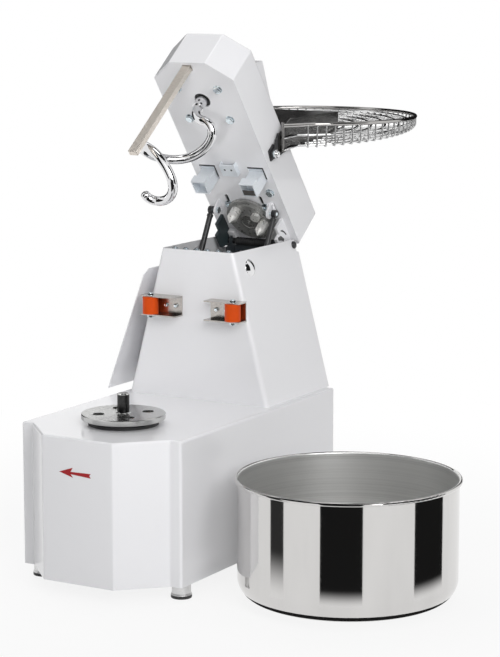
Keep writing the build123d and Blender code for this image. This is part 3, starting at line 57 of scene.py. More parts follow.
def millimetres(point):
    """A point given in metres, to the nearest micrometre."""
    return Vector([round(length / MM, KEPT_DIGITS) for length in point])


def lowest_corner(node):
    return millimetres(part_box(node)[0])


def highest_corner(node):
    return millimetres(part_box(node)[1])


def box_middle(node):
    return (lowest_corner(node) + highest_corner(node)) / 2


def joint_place(joint):
    return millimetres(JOINTS[joint]["pos_m"])


HINGE_PIN = joint_place("head_tilt")
STRUT_TOP = joint_place("strut_swing")
ROLLER = joint_place("roller_right_spin")
BRACKET_TOP = highest_corner("roller_brackets").z
BRACKET_BOTTOM = lowest_corner("roller_brackets").z
BRACKET_SCREW_Y = lowest_corner("frame_bolts").y
BRIDGE_Z = highest_corner("cross_plates").z
CABINET_FRONT = lowest_corner("cabinet_shell").y
CABINET_REAR = highest_corner("cabinet_shell").y
COLUMN_FOOT = lowest_corner("column_shell").z
COLUMN_HALF_WIDTH = highest_corner("column_shell").x
REAR_COVER_Y = highest_corner("rear_cover").y
GLAND = box_middle("cable_gland")
FOOT_PAD = highest_corner("foot_pads").z
TURNTABLE_TOP = highest_corner("drive_plate").z
BOWL_MIDDLE = box_middle("bowl_shell")

# Other sizes and places on the solids, in millimetres
PLATE_LEVEL = 16.5
COUPLING_STATION = 63
COUPLING_LEVEL = 2
PIN_SHOULDER = 1.8
SPIRAL_STATION = 412
SPIRAL_COLLAR = 13
SPIRAL_TIP = Vector((-9, -396.4, -268.2))
SPIRAL_TIP_WAY = Vector((-0.206, -0.978, 0))
LATCH_X = 62
LATCH_STATION = 197
LATCH_FACE = -35.5
STRIKER_STATION = 218.5
STRIKER_LEVEL = 4.0
STRUT_X = 82.2
GUARD_PIVOT_X = 112.1
GUARD_PIVOT_Y = 449.7
GUARD_PIVOT_Z = 871.9
COLUMN_LEAN = 0.2628
BRIDGE_Y = 317
BRIDGE_BOLTS = 6
BRIDGE_PITCH = 27.3
ROLLER_PIN_TOP = 569.2
FOOT_X = 173
FOOT_ROWS = (-52, 530)
DRIVE_HOLES = 4
DRIVE_HOLE_CIRCLE = 53
PANEL_FOOT = Vector((-235.95, 296.0, 341.0))
PANEL_UP = Vector((101.8, 0, 277.0)).normalized()
PANEL_OUT = PANEL_UP.cross(Vector((0, 1, 0)))

# Places in metres
TILT = math.radians(JOINTS["head_tilt"]["range_deg"][1])
HINGE = Vector(JOINTS["head_tilt"]["pos_m"])
HEAD = Matrix.Translation(HINGE) @ Matrix.Rotation(-TILT, 4, "X")
HEAD_MIDDLE = Vector((0.0, 0.25, 1.0))
COUPLING_CENTRE = HEAD @ Vector((0, -COUPLING_STATION * MM, PLATE_LEVEL * MM))
COUPLING_FACE = (COUPLING_LEVEL - PLATE_LEVEL) * MM
COUPLING_PINS = COUPLING_FACE - PIN_SHOULDER * MM
BOWL = Vector((BOWL_MIDDLE.x * MM, BOWL_MIDDLE.y * MM, 0.0))

# Camera, fitted to the cabinet's right angles
CAMERA = Vector((2.595, -3.9401, 1.3341))
CAMERA_PITCH = math.radians(9.581)
CAMERA_YAW = math.radians(30.153)
PICTURE_HEIGHT = 657
FOCAL_PIXELS = 2298.4
SENSOR_HEIGHT = 36.0


def add_camera():
    data = bpy.data.cameras.new("camera")
    data.sensor_fit = "VERTICAL"
    data.sensor_height = SENSOR_HEIGHT
    data.lens = FOCAL_PIXELS / PICTURE_HEIGHT * SENSOR_HEIGHT
    camera = bpy.data.objects.new("camera", data)
    camera.location = CAMERA
    camera.rotation_euler = (math.pi / 2 - CAMERA_PITCH, 0, CAMERA_YAW)
    scene.collection.objects.link(camera)
    scene.camera = camera


# Node trees
def map_range(tree, value, limits, results, interpolation="LINEAR"):
    """A value carried from one pair of limits to another."""
    made = tree.nodes.new("ShaderNodeMapRange")
    made.interpolation_type = interpolation
    names = ("From Min", "From Max", "To Min", "To Max")
    for name, number in zip(names, (*limits, *results)):
        made.inputs[name].default_value = number
    tree.links.new(value, made.inputs["Value"])
    return made.outputs["Result"]


def join_values(tree, operation, first, second):
    """Two values joined by an operation."""
    made = tree.nodes.new("ShaderNodeMath")
    made.operation = operation
    tree.links.new(first, made.inputs[0])
    tree.links.new(second, made.inputs[1])
    return made.outputs["Value"]


class Shader:
    """A material's node tree with short calls for the nodes used here."""

    def __init__(self, name):
        self.material = bpy.data.materials.new(name)
        self.material.use_nodes = True
        self.tree = self.material.node_tree
        self.surface = self.tree.nodes["Principled BSDF"]
        self.coords = self.node("ShaderNodeTexCoord").outputs["Object"]

    def node(self, kind, **settings):
        made = self.tree.nodes.new(kind)
        for key, value in settings.items():
            setattr(made, key, value)
        return made

    def link(self, start, end):
        self.tree.links.new(start, end)

    def set(self, **values):
        for key, value in values.items():
            self.surface.inputs[key.replace("_", " ")].default_value = value

    def noise(self, scale, detail=4.0, stretch=(1, 1, 1), turn=(0, 0, 0), source=None):
        """Noise in object space or on a source, drawn out along an axis where a stretch is below 1."""
        mapping = self.node("ShaderNodeMapping")
        mapping.inputs["Scale"].default_value = stretch
        mapping.inputs["Rotation"].default_value = turn
        self.link(source or self.coords, mapping.inputs["Vector"])
        noise = self.node("ShaderNodeTexNoise")
        noise.inputs["Scale"].default_value = scale
        noise.inputs["Detail"].default_value = detail
        self.link(mapping.outputs["Vector"], noise.inputs["Vector"])
        return noise.outputs["Fac"]

    def split(self, vector):
        made = self.node("ShaderNodeSeparateXYZ")
        self.link(vector, made.inputs["Vector"])
        return made.outputs

    def combine(self, **parts):
        made = self.node("ShaderNodeCombineXYZ")
        for axis, value in parts.items():
            self.link(value, made.inputs[axis])
        return made.outputs["Vector"]

    def mix_colours(self, share, first, second):
        made = self.node("ShaderNodeMix", data_type="RGBA")
        self.link(share, made.inputs["Factor"])
        self.link(first, made.inputs["A"])
        self.link(second, made.inputs["B"])
        return made.outputs["Result"]

    def ramp(self, value, low, high, low_at=0.3, high_at=0.7):
        """A value turned into one between two numbers or colours."""
        if not isinstance(low, tuple):
            return map_range(self.tree, value, (low_at, high_at), (low, high))
        ramp = self.node("ShaderNodeValToRGB")
        for element, place, colour in zip(ramp.color_ramp.elements, (low_at, high_at), (low, high)):
            element.position = place
            element.color = (*colour, 1)
        self.link(value, ramp.inputs["Fac"])
        return ramp.outputs["Color"]

    def colour(self, value, low, high, low_at=0.3, high_at=0.7):
        self.link(self.ramp(value, low, high, low_at, high_at), self.surface.inputs["Base Color"])

    def rough(self, value, low, high):
        self.link(self.ramp(value, low, high), self.surface.inputs["Roughness"])

    def bump(self, value, strength, distance):
        bump = self.node("ShaderNodeBump")
        bump.inputs["Strength"].default_value = strength
        bump.inputs["Distance"].default_value = distance
        self.link(value, bump.inputs["Height"])
        self.link(bump.outputs["Normal"], self.surface.inputs["Normal"])


# Kinds of finish, with depths in metres
PEEL_DEPTH = 0.00004
GRAIN_DEPTH = 0.0002
MOULD_DEPTH = 0.0003
EDGE_BLEND = 0.0008


def shade(colour, share):
    return tuple(channel * share for channel in colour)


def paint(name, colour, roughness, coat):
    """Sprayed paint: slight mottling, orange peel and a clear gloss."""
    shader = Shader(name)
    shader.colour(shader.noise(scale=3.0, detail=1.0), shade(colour, 0.99), colour)
    shader.rough(shader.noise(scale=500.0, detail=2.0), roughness * 0.9, roughness * 1.1)
    shader.bump(shader.noise(scale=380.0, detail=1.0), strength=0.012, distance=PEEL_DEPTH)
    shader.set(Coat_Weight=coat, Coat_Roughness=0.05)
    return shader.material


def two_tone(name, left, right):
    """Sprayed paint, one colour on each side of the machine's middle."""
    shader = Shader(name)
    shader.colour(shader.split(shader.coords)["X"], left, right, low_at=0.0, high_at=0.01)
    shader.rough(shader.noise(scale=500.0, detail=2.0), low=0.30, high=0.38)
    shader.bump(shader.noise(scale=380.0, detail=1.0), strength=0.03, distance=PEEL_DEPTH)
    return shader.material


def metal(name, colour, roughness, scale=300.0, stretch=(1, 1, 1), turn=(0, 0, 0), bump=0.05,
          contrast=0.9, metallic=1.0):
    """Metal with fine drawn or ground lines."""
    shader = Shader(name)
    grain = shader.noise(scale, detail=5.0, stretch=stretch, turn=turn)
    shader.colour(grain, shade(colour, contrast), colour)
    shader.rough(grain, roughness * 1.2, roughness * 0.8)
    shader.bump(grain, bump, GRAIN_DEPTH)
    shader.set(Metallic=metallic)
    return shader.material


def turned_metal(name, colour, roughness, centre, pitch, turn=(0, 0, 0), metallic=1.0, lower_colour=None,
                 level=0.0):
    """Metal turned on a lathe: fine rings around an axis, and another colour below a level."""
    shader = Shader(name)
    mapping = shader.node("ShaderNodeMapping", vector_type="TEXTURE")
    mapping.inputs["Location"].default_value = centre
    mapping.inputs["Rotation"].default_value = turn
    shader.link(shader.coords, mapping.inputs["Vector"])
    place = mapping.outputs["Vector"]
    rings = shader.node("ShaderNodeTexWave", wave_type="RINGS", rings_direction="Z")
    rings.inputs["Scale"].default_value = 1.0 / pitch
    rings.inputs["Distortion"].default_value = 0.6
    shader.link(place, rings.inputs["Vector"])
    tone = shader.ramp(rings.outputs["Fac"], shade(colour, 0.86), colour, low_at=0.1, high_at=0.9)
    if lower_colour:
        above = shader.ramp(shader.split(place)["Z"], 0.0, 1.0, level - EDGE_BLEND, level + EDGE_BLEND)
        lower_tone = shader.ramp(shader.noise(scale=150.0), shade(lower_colour, 0.9), lower_colour)
        tone = shader.mix_colours(above, lower_tone, tone)
    shader.link(tone, shader.surface.inputs["Base Color"])
    shader.rough(shader.noise(scale=120.0), roughness * 0.8, roughness * 1.2)
    shader.bump(rings.outputs["Fac"], strength=0.12, distance=GRAIN_DEPTH)
    shader.set(Metallic=metallic)
    return shader.material


def plastic(name, colour, roughness, bump_scale=700.0, bump=0.08, gloss=0.5):
    """Moulded plastic or rubber with a fine grain."""
    shader = Shader(name)
    shader.colour(shader.noise(scale=25.0), shade(colour, 0.85), colour)
    shader.rough(shader.noise(scale=80.0), roughness * 0.85, roughness * 1.15)
    shader.bump(shader.noise(bump_scale, detail=3.0), bump, MOULD_DEPTH)
    shader.set(Specular_IOR_Level=gloss)
    return shader.material


def bowl_steel():
    """Bowl: mirror-polished outside and satin-brushed in rings inside."""
    polished_roughness = 0.07
    shader = Shader("bowl_steel")
    centred = shader.node("ShaderNodeVectorMath", operation="SUBTRACT")
    centred.inputs[1].default_value = BOWL
    shader.link(shader.coords, centred.inputs[0])
    from_axis = centred.outputs["Vector"]
    facing = shader.node("ShaderNodeVectorMath", operation="DOT_PRODUCT")
    shader.link(shader.node("ShaderNodeNewGeometry").outputs["Normal"], facing.inputs[0])
    shader.link(from_axis, facing.inputs[1])
    outside = shader.ramp(facing.outputs["Value"], 0.0, 1.0, low_at=0.0, high_at=0.06)
    parts = shader.split(from_axis)
    reach = shader.node("ShaderNodeVectorMath", operation="LENGTH")
    shader.link(shader.combine(X=parts["X"], Y=parts["Y"]), reach.inputs[0])
    rings = shader.combine(X=reach.outputs["Value"], Z=parts["Z"])
    brushed = shader.noise(scale=420.0, detail=6.0, source=rings)
    roughness = shader.node("ShaderNodeMix", data_type="FLOAT")
    shader.link(outside, roughness.inputs["Factor"])
    shader.link(shader.ramp(brushed, 0.30, 0.44), roughness.inputs["A"])
    roughness.inputs["B"].default_value = polished_roughness
    shader.link(roughness.outputs["Result"], shader.surface.inputs["Roughness"])
    satin = shader.ramp(brushed, (0.74, 0.74, 0.73), (0.86, 0.86, 0.85))
    clouds = shader.noise(scale=14.0, detail=3.0, stretch=(1, 1, 0.2))
    mirror = shader.ramp(clouds, (0.63, 0.62, 0.61), (0.68, 0.67, 0.66))
    shader.link(shader.mix_colours(outside, satin, mirror), shader.surface.inputs["Base Color"])
    shader.bump(brushed, strength=0.015, distance=GRAIN_DEPTH)
    shader.set(Metallic=1.0)
    return shader.material


# Materials of the record's slots
WHITE = (0.84, 0.84, 0.86)
MATERIALS = {
    "white_paint": paint("white_paint", WHITE, roughness=0.22, coat=0.35),
    "black_paint": paint("black_paint", (0.018, 0.018, 0.020), roughness=0.35, coat=0.15),
    "stainless": metal("stainless", (0.62, 0.60, 0.58), roughness=0.22, scale=220.0, stretch=(1, 14, 1)),
    "chrome_steel": metal("chrome_steel", (0.78, 0.78, 0.79), roughness=0.07, scale=80.0, bump=0.01,
                          contrast=0.95),
    "zinc": metal("zinc", (0.74, 0.78, 0.82), roughness=0.42, scale=140.0, stretch=(1, 1, 6), contrast=0.88),
    "machined_steel": metal("machined_steel", (0.52, 0.52, 0.50), roughness=0.26, scale=260.0,
                            stretch=(1, 1, 8)),
    "dark_steel": metal("dark_steel", (0.10, 0.10, 0.10), roughness=0.22, scale=260.0, contrast=0.6),
    "frame_steel": paint("frame_steel", (0.035, 0.042, 0.048), roughness=0.40, coat=0.10),
    "cast_grey": paint("cast_grey", (0.16, 0.16, 0.16), roughness=0.55, coat=0.0),
    "motor_grey": paint("motor_grey", (0.22, 0.24, 0.27), roughness=0.40, coat=0.1),
    "black_rubber": plastic("black_rubber", (0.022, 0.022, 0.023), roughness=0.55),
    "orange_plastic": plastic("orange_plastic", (0.72, 0.080, 0.006), roughness=0.40, bump_scale=300.0,
                              bump=0.03, gloss=0.15),
    "black_plastic": plastic("black_plastic", (0.018, 0.018, 0.019), roughness=0.38),
    "green_plastic": plastic("green_plastic", (0.03, 0.30, 0.07), roughness=0.30),
    "red_plastic": plastic("red_plastic", (0.48, 0.02, 0.02), roughness=0.30),
    "bar_steel": metal("bar_steel", (0.86, 0.80, 0.73), roughness=0.48, scale=90.0, stretch=(1, 1, 6),
                       turn=(-TILT, 0, 0), bump=0.02),
}

# Materials of single pieces
HUB_STEEL = metal("hub_steel", (0.30, 0.30, 0.29), roughness=0.30, scale=200.0, metallic=0.7)
BOLT_ZINC = metal("bolt_zinc", (0.78, 0.86, 0.90), roughness=0.14, scale=160.0, contrast=0.8)
BRIGHT_STEEL = metal("bright_steel", (0.80, 0.80, 0.79), roughness=0.16, scale=200.0)
ARROW_RED = paint("arrow_red", (0.36, 0.004, 0.008), roughness=0.60, coat=0.0)
GUARD_CHROME = metal("guard_chrome", (0.80, 0.80, 0.80), roughness=0.09, scale=80.0, bump=0.01, contrast=0.93)
# Chrome darkened as painted shade, standing in for the dark reflections on the guard's rim.
GUARD_SHADED_CHROME = metal("guard_chrome_painted_shade", (0.46, 0.45, 0.44), roughness=0.10, scale=80.0, bump=0.01)
GUARD_SHEET = metal("guard_sheet", (0.25, 0.247, 0.243), roughness=0.16, scale=12.0, stretch=(1, 1, 4),
                    bump=0.0, contrast=0.80)
# Near-black paint for the painted shade inside the right-hand latch's hollow end.
LATCH_SHADE = paint("latch_shade", (0.075, 0.07, 0.065), roughness=0.5, coat=0.0)
LATCH_ZINC = metal("latch_zinc", (0.80, 0.84, 0.88), roughness=0.34, scale=140.0, stretch=(1, 1, 6),
                   contrast=0.94, metallic=0.25)
FOOT_STEEL = metal("foot_steel", (0.70, 0.70, 0.70), roughness=0.42, scale=140.0, stretch=(1, 1, 6),
                   contrast=0.88)
SPINDLE_STEEL = metal("spindle_steel", (0.055, 0.055, 0.055), roughness=0.18, scale=260.0, contrast=0.6)
BRACKET_STEEL = metal("bracket_steel", (0.53, 0.50, 0.47), roughness=0.22, scale=220.0, stretch=(1, 14, 1))
TURNED_HUB = turned_metal("turned_hub", (0.72, 0.72, 0.71), roughness=0.28, centre=BOWL, pitch=0.003)
TURNED_PLATE = turned_metal("turned_plate", (0.60, 0.60, 0.59), roughness=0.20, centre=(0, 0, 0),
                            pitch=0.0022)
TURNED_COUPLING = turned_metal("turned_coupling", (0.40, 0.40, 0.39), roughness=0.30, centre=COUPLING_CENTRE,
                               pitch=0.004, turn=(-TILT, 0, 0), metallic=0.6,
                               lower_colour=(0.86, 0.85, 0.82), level=COUPLING_PINS)
NODE_MATERIALS = {
    "bowl_shell": bowl_steel(),
    "bowl_base": TURNED_HUB,
    "foot_stubs": FOOT_STEEL,
    "head_bolts": BOLT_ZINC,
    "frame_bolts": BOLT_ZINC,
    "latch_blocks": LATCH_ZINC,
    "striker_plate": LATCH_ZINC,
    "head_bearings": MATERIALS["black_rubber"],
    "head_hinge_plates": two_tone("hinge_leaf", (0.030, 0.045, 0.050), WHITE),
    "guard_rim": GUARD_SHADED_CHROME,
    "guard_wall": GUARD_SHEET,
    "guard_rings": GUARD_CHROME,
    "guard_spokes": GUARD_CHROME,
    "bowl_spindle": SPINDLE_STEEL,
    "roller_brackets": BRACKET_STEEL,
    "drive_plate": TURNED_PLATE,
    "upper_coupling": TURNED_COUPLING,
}


def dress_nodes():
    """Give every solid its material."""
    for subpart in frame["record"]["subparts"]:
        node = subpart["node"]
        material = NODE_MATERIALS.get(node, MATERIALS[subpart["material_slot"]])
        mesh = nodes[node].data
        mesh.materials.clear()
        mesh.materials.append(material)


# Places of pieces, given in millimetres
ACROSS = Matrix(((0, 0, 1, 0), (1, 0, 0, 0), (0, 1, 0, 0), (0, 0, 0, 1)))
SIDES = (-1, 1)


def at(x, y, z, towards=(0, 0, 1)):
    """A place whose Z points along a direction."""
    turn = Vector((0, 0, 1)).rotation_difference(Vector(towards)).to_matrix().to_4x4()
    return Matrix.Translation(Vector((x, y, z)) * MM) @ turn


def under_head(x, station, level):
    """A place under the head: X across, Y to the nose and Z out of the plate."""
    foot = Matrix.Translation(Vector((x, -station, level)) * MM)
    return HEAD @ foot @ Matrix.Rotation(math.pi, 4, "X")


def on_panel(rise, along):
    """A place on the control panel: Z out of its face."""
    turn = Matrix((PANEL_UP, (0, 1, 0), PANEL_OUT)).transposed().to_4x4()
    return Matrix.Translation(PANEL_FOOT * MM) @ turn @ Matrix.Translation(Vector((rise, along, 0)) * MM)


# Forms of pieces, in millimetres at a place
LATHE_STEPS = 28
HEXAGON = 6
SHARP_ANGLE = math.radians(32)
DOME_TURNS = [math.radians(turn) for turn in (15, 30, 45, 60, 75)]
NUT_CORNER = 0.88
NUT_EDGE = 0.12
STUD_REACH = 1.5
STUD_EDGE = 1.35
STUD_TIP = 0.75
WASHER_EDGE = 0.3
# Thickness of the dark sheets that paint the shade of gaps and slots.
SHADE_SHEET_DEPTH = 0.25


def circle(radius, count, start=0.0):
    turns = [start + 2 * math.pi * step / count for step in range(count)]
    return [(radius * math.cos(turn), radius * math.sin(turn)) for turn in turns]


def ring(radius, level, count):
    return [(x, y, level) for x, y in circle(radius, count)]


def rectangle(x, y):
    """The corners between pairs of limits."""
    return [(x[0], y[0]), (x[1], y[0]), (x[1], y[1]), (x[0], y[1])]


class Form:
    """The faces of one piece, collected from simple forms."""

    def __init__(self):
        self.mesh = bmesh.new()

    def skin(self, place, rows, closed=False):
        """Faces between rows of points. A row of one point is a tip."""
        made = [[self.mesh.verts.new(place @ (Vector(point) * MM)) for point in row] for row in rows]
        if closed:
            made.append(made[0])
        for low, high in zip(made, made[1:]):
            count = max(len(low), len(high))
            for step in range(count):
                after = step + 1
                corners = [low[step % len(low)], low[after % len(low)]]
                corners += [high[after % len(high)], high[step % len(high)]]
                self.mesh.faces.new(list(dict.fromkeys(corners)))
        return made

    def lathe(self, place, profile, closed=False):
        """A turned form from pairs of radius and height."""
        rows = [ring(radius, height, LATHE_STEPS if radius else 1) for radius, height in profile]
        self.skin(place, rows, closed)

    def prism(self, place, outline, low, high):
        """A flat form between two heights."""
        made = self.skin(place, [[(x, y, level) for x, y in outline] for level in (low, high)])
        for row in made:
            self.mesh.faces.new(row)

    def box(self, place, x, y, z):
        """A block between pairs of limits."""
        self.prism(place, rectangle(x, y), *z)

    def dome(self, place, radius, height, foot):
        """A domed screw head on a short foot."""
        arc = [(radius * math.cos(turn), foot + height * math.sin(turn)) for turn in DOME_TURNS]
        self.lathe(place, [(0, 0), (radius, 0), (radius, foot), *arc, (0, foot + height)])

    def nut(self, place, radius, height, stud):
        """A hexagon nut with broken corners and the rounded end of its stud."""
        rows = [[(0, 0, 0)], ring(radius, 0, HEXAGON), ring(radius, height - NUT_EDGE * height, HEXAGON)]
        rows += [ring(NUT_CORNER * radius, height, HEXAGON), [(0, 0, height)]]
        self.skin(place, rows)
        end = STUD_REACH * height
        self.lathe(place, [(0, 0), (stud, 0), (stud, STUD_EDGE * height), (STUD_TIP * stud, end), (0, end)])

    def washer(self, place, inner, outer, height):
        edge = WASHER_EDGE * height
        profile = [(inner, 0), (outer, 0), (outer, height - edge), (outer - edge, height), (inner, height)]
        self.lathe(place, profile, closed=True)


def add_piece(name, form, body, slot, material=None, bevel=0.0, replaces=None):
    """Make an object of a form, ride it on a body and give it its finish."""
    mesh = bpy.data.meshes.new(name)
    bmesh.ops.recalc_face_normals(form.mesh, faces=form.mesh.faces)
    form.mesh.to_mesh(mesh)
    form.mesh.free()
    mesh.materials.append(material or MATERIALS[slot])
    mesh.shade_smooth()
    mesh.set_sharp_from_angle(angle=SHARP_ANGLE)
    piece = bpy.data.objects.new(name, mesh)
    scene.collection.objects.link(piece)
    if bevel:
        modifier = piece.modifiers.new("bevel", "BEVEL")
        modifier.width = bevel * MM
        modifier.segments = 2
        modifier.limit_method = "ANGLE"
    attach(piece, body)
    if replaces:
        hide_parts(replaces)


# Pieces of the cabinet's front and the head
def add_arrow():
    """Turning-sense arrow on the cabinet's front."""
    thickness = 0.12
    outline = [(-44, 264.7), (-10, 276), (-15.5, 267), (34, 268), (30.5, 263.5), (34, 258.5), (-15.5, 262)]
    outline.append((-9, 255))
    front = Matrix.Translation((0, CABINET_FRONT * MM, 0)) @ Matrix.Rotation(math.pi / 2, 4, "X")
    form = Form()
    form.prism(front, outline, 0, thickness)
    add_piece("front_arrow", form, "frame", "red_plastic", ARROW_RED)


def add_sleeve():
    """Ribbed rubber sleeve around the head's hinge pin."""
    half = highest_corner("hinge_sleeve").x
    ribs = 18
    bore = 7.1
    root = 8.2
    crest = highest_corner("hinge_sleeve").z - HINGE_PIN.z
    pitch = 2 * half / ribs
    profile = [(bore, -half), (root, -half)]
    for rib in range(ribs):
        start = -half + rib * pitch
        for radius, share in ((root, 0.1), (crest, 0.25), (crest, 0.75), (root, 0.9)):
            profile.append((radius, start + share * pitch))
    profile += [(root, half), (bore, half)]
    form = Form()
    form.lathe(at(*HINGE_PIN, (1, 0, 0)), profile, closed=True)
    add_piece("ribbed_sleeve", form, "frame", "black_rubber", replaces="hinge_sleeve")


def add_plate_washers():
    """Washers of the bolts under the head's plate."""
    form = Form()
    for x, station in ((-51, 359), (51, 359), (-51, 445), (51, 445), (76.5, 144.5)):
        form.washer(under_head(x, station, PLATE_LEVEL), inner=5.0, outer=10.4, height=1.3)
    add_piece("plate_washers", form, "head", "zinc", BOLT_ZINC)


def add_plate_nuts():
    """Nuts with washers above the coupling."""
    washer_height = 1.2
    form = Form()
    for x, station in ((-45.4, 102.6), (49.1, 99.5)):
        form.washer(under_head(x, station, PLATE_LEVEL), inner=4.0, outer=9.4, height=washer_height)
        form.nut(under_head(x, station, PLATE_LEVEL - washer_height), radius=7.5, height=6.0, stud=3.8)
    add_piece("plate_nuts", form, "head", "zinc", BOLT_ZINC)


def add_latch_painted_shade():
    """Painted shade around the latches: dark strips for the shade in the gaps of the cut-outs, and a dark sheet
    for the shade in the mouth of the right-hand latch.
    """
    gap_shade = Form()
    for side in SIDES:
        place = under_head(side * LATCH_X, LATCH_STATION, PLATE_LEVEL)
        gap_shade.box(place, x=(-19, 21.5), y=(18.2, 22.4), z=(0, SHADE_SHEET_DEPTH))
        gap_shade.box(place, x=(18.2, 21.5), y=(-12, 18), z=(0, SHADE_SHEET_DEPTH))
    add_piece("latch_gap_shade", gap_shade, "head", "black_paint", bevel=0.08)
    mouth = Form()
    mouth.box(under_head(LATCH_X, LATCH_STATION, LATCH_FACE), x=(-14.5, 14.5), y=(-13.5, 1.0), z=(-0.5, 0.2))
    add_piece("latch_mouth_shade", mouth, "head", "dark_steel", LATCH_SHADE, bevel=0.1)


def add_striker_hole_shade():
    """Dark discs painted as the shade in the striker plate's holes."""
    hole_x = 8.5
    form = Form()
    for side in SIDES:
        place = under_head(side * hole_x, STRIKER_STATION, STRIKER_LEVEL)
        form.lathe(place, [(0, -0.4), (1.8, -0.4), (2.5, 0.06), (2.5, -2.8), (0, -2.8)])
    add_piece("striker_hole_shade", form, "head", "black_paint")


def add_hinge_block():
    """Block beside the sleeve."""
    form = Form()
    form.box(under_head(0, 0, PLATE_LEVEL), x=(-73, -56), y=(2, 23), z=(0, 13))
    add_piece("hinge_block", form, "head", "white_paint", bevel=1.2)


def add_ear_channel():
    """Folded channel at the right-hand ear."""
    sheet = 2.4
    left = 58
    right = 75
    form = Form()
    form.box(under_head(0, 0, PLATE_LEVEL), x=(left, right), y=(79, 112), z=(0, sheet))
    flange = [(79, 0), (112, 0), (110, 7), (92, 15), (83, 15)]
    for x in (left, right - sheet):
        form.prism(under_head(x, 0, PLATE_LEVEL) @ ACROSS, flange, 0, sheet)
    add_piece("ear_channel", form, "head", "white_paint", bevel=0.6)


def add_leaf_slot_shade():
    """Painted shade: dark sheets on the right-hand leaf of the hinge, for the shade seen through its slot and
    through the gap below it.
    """
    leaf_x = 81
    face = HEAD @ at(leaf_x, 0, 0) @ ACROSS
    upper = [(-50.7, -8.5), (-47, -1), (-40.2, 3.2), (-33, 6), (-25.1, 7.8)]
    upper += [(-25.5, 4.6), (-33, 2.6), (-39, -0.4), (-44, -4)]
    lower = [(-46, -26), (-40, -13), (-24, -6), (-20, -11), (-30, -18), (-38, -27)]
    form = Form()
    for outline in (upper, lower):
        form.prism(face, outline, 0, SHADE_SHEET_DEPTH)
    add_piece("leaf_slot_shade", form, "head", "black_paint")


def add_spiral_screws_and_hole_shade():
    """Set screws in the collar of the spiral, as dark discs that also hold the painted shade of their holes."""
    form = Form()
    for degrees, level in ((78, 3.0), (42, -3.0)):
        turn = math.radians(degrees)
        out = Vector((math.cos(turn), -math.sin(turn), 0))
        place = HEAD @ at(SPIRAL_COLLAR * out.x, -SPIRAL_STATION + SPIRAL_COLLAR * out.y, level, out)
        form.lathe(place, [(0, 0.1), (1.9, 0.1), (2.3, 0.35), (2.7, 0.1), (2.7, -0.8), (0, -0.8)])
    add_piece("spiral_screws_and_hole_shade", form, "spiral", "black_paint")


def add_spiral_tip():
    """Rounded end of the spiral's bar."""
    tip = HEAD @ (SPIRAL_TIP * MM) / MM
    way = HEAD.to_3x3() @ SPIRAL_TIP_WAY
    form = Form()
    form.dome(at(*tip, way), radius=10, height=7.5, foot=0.2)
    add_piece("spiral_tip", form, "spiral", "chrome_steel")


def add_coupling_hub():
    """Hub ring and centre of the head's coupling."""
    hub = [(0, -0.4), (21, -0.4), (21, 1.4), (20.2, 2.2), (18.4, 2.2), (17.6, 1.2)]
    centre = [(5.4, 1.2), (4.6, 2.6), (2.8, 3.2), (1.8, 2.0), (0, 2.0)]
    form = Form()
    form.lathe(under_head(0, COUPLING_STATION, COUPLING_LEVEL), hub + centre)
    add_piece("coupling_hub", form, "upper_coupling", "machined_steel", HUB_STEEL)


def add_pivot_domes():
    """Domed nuts on the guard's pivots."""
    form = Form()
    for side in SIDES:
        place = at(side * GUARD_PIVOT_X, GUARD_PIVOT_Y, GUARD_PIVOT_Z, (side, 0, 0))
        form.lathe(place, [(0, 0), (9.6, 0), (9.6, 1.2), (8.8, 1.8), (0, 1.8)])
        form.dome(place, radius=7.2, height=5.5, foot=3.0)
    add_piece("pivot_domes", form, "head", "chrome_steel")


# Pieces of the turntable, the column, the feet and the panel
def add_turntable_rims():
    """Broken edges of the drive plate's holes, and the bright rings of the spindle."""
    spindle_edge = highest_corner("bowl_spindle").z - 2.1
    hole_edge = [(12.5, -1.2), (12.6, 0.25), (13.6, 0.35), (14.6, 0.0), (14.6, -0.6)]
    foot_ring = [(13.05, 0), (15.8, 0), (15.8, 0.9), (14.4, 1.9), (13.05, 1.9)]
    top_ring = [(12.7, -0.3), (13.15, -0.3), (13.15, 0.3), (11.3, 2.15), (10.2, 2.15), (10.2, 1.6)]
    form = Form()
    for x, y in circle(DRIVE_HOLE_CIRCLE, DRIVE_HOLES, math.pi / DRIVE_HOLES):
        form.lathe(at(x, y, TURNTABLE_TOP), hole_edge, closed=True)
    form.lathe(at(0, 0, TURNTABLE_TOP), foot_ring, closed=True)
    form.lathe(at(0, 0, spindle_edge), top_ring, closed=True)
    add_piece("turntable_rims", form, "turntable", "machined_steel", BRIGHT_STEEL)


def add_roller_caps():
    """Domes, washers and nuts of the rollers' pins, the last two sunk a little into the brackets."""
    washer_foot = BRACKET_TOP - 0.1
    nut_foot = BRACKET_BOTTOM + 0.2
    form = Form()
    for side in SIDES:
        x = side * ROLLER.x
        form.dome(at(x, ROLLER.y, ROLLER_PIN_TOP), radius=6.4, height=2.6, foot=0.3)
        form.nut(at(x, ROLLER.y, nut_foot, (0, 0, -1)), radius=7.6, height=4.6, stud=3.6)
        form.washer(at(x, ROLLER.y, washer_foot), inner=6.4, outer=9.2, height=1.0)
    add_piece("roller_caps", form, "frame", "zinc", BOLT_ZINC)


def add_bracket_sockets():
    """Sockets of the screws that hold the rollers' brackets."""
    form = Form()
    for side in SIDES:
        for x in (52.15, 77.4):
            place = at(side * x, BRACKET_SCREW_Y, ROLLER.z, (0, -1, 0))
            form.lathe(place, [(0, 0.05), (2.1, 0.05), (2.5, 0.4), (4.2, 0.1), (4.4, -0.6), (0, -0.6)])
    add_piece("bracket_sockets", form, "frame", "zinc", BOLT_ZINC)


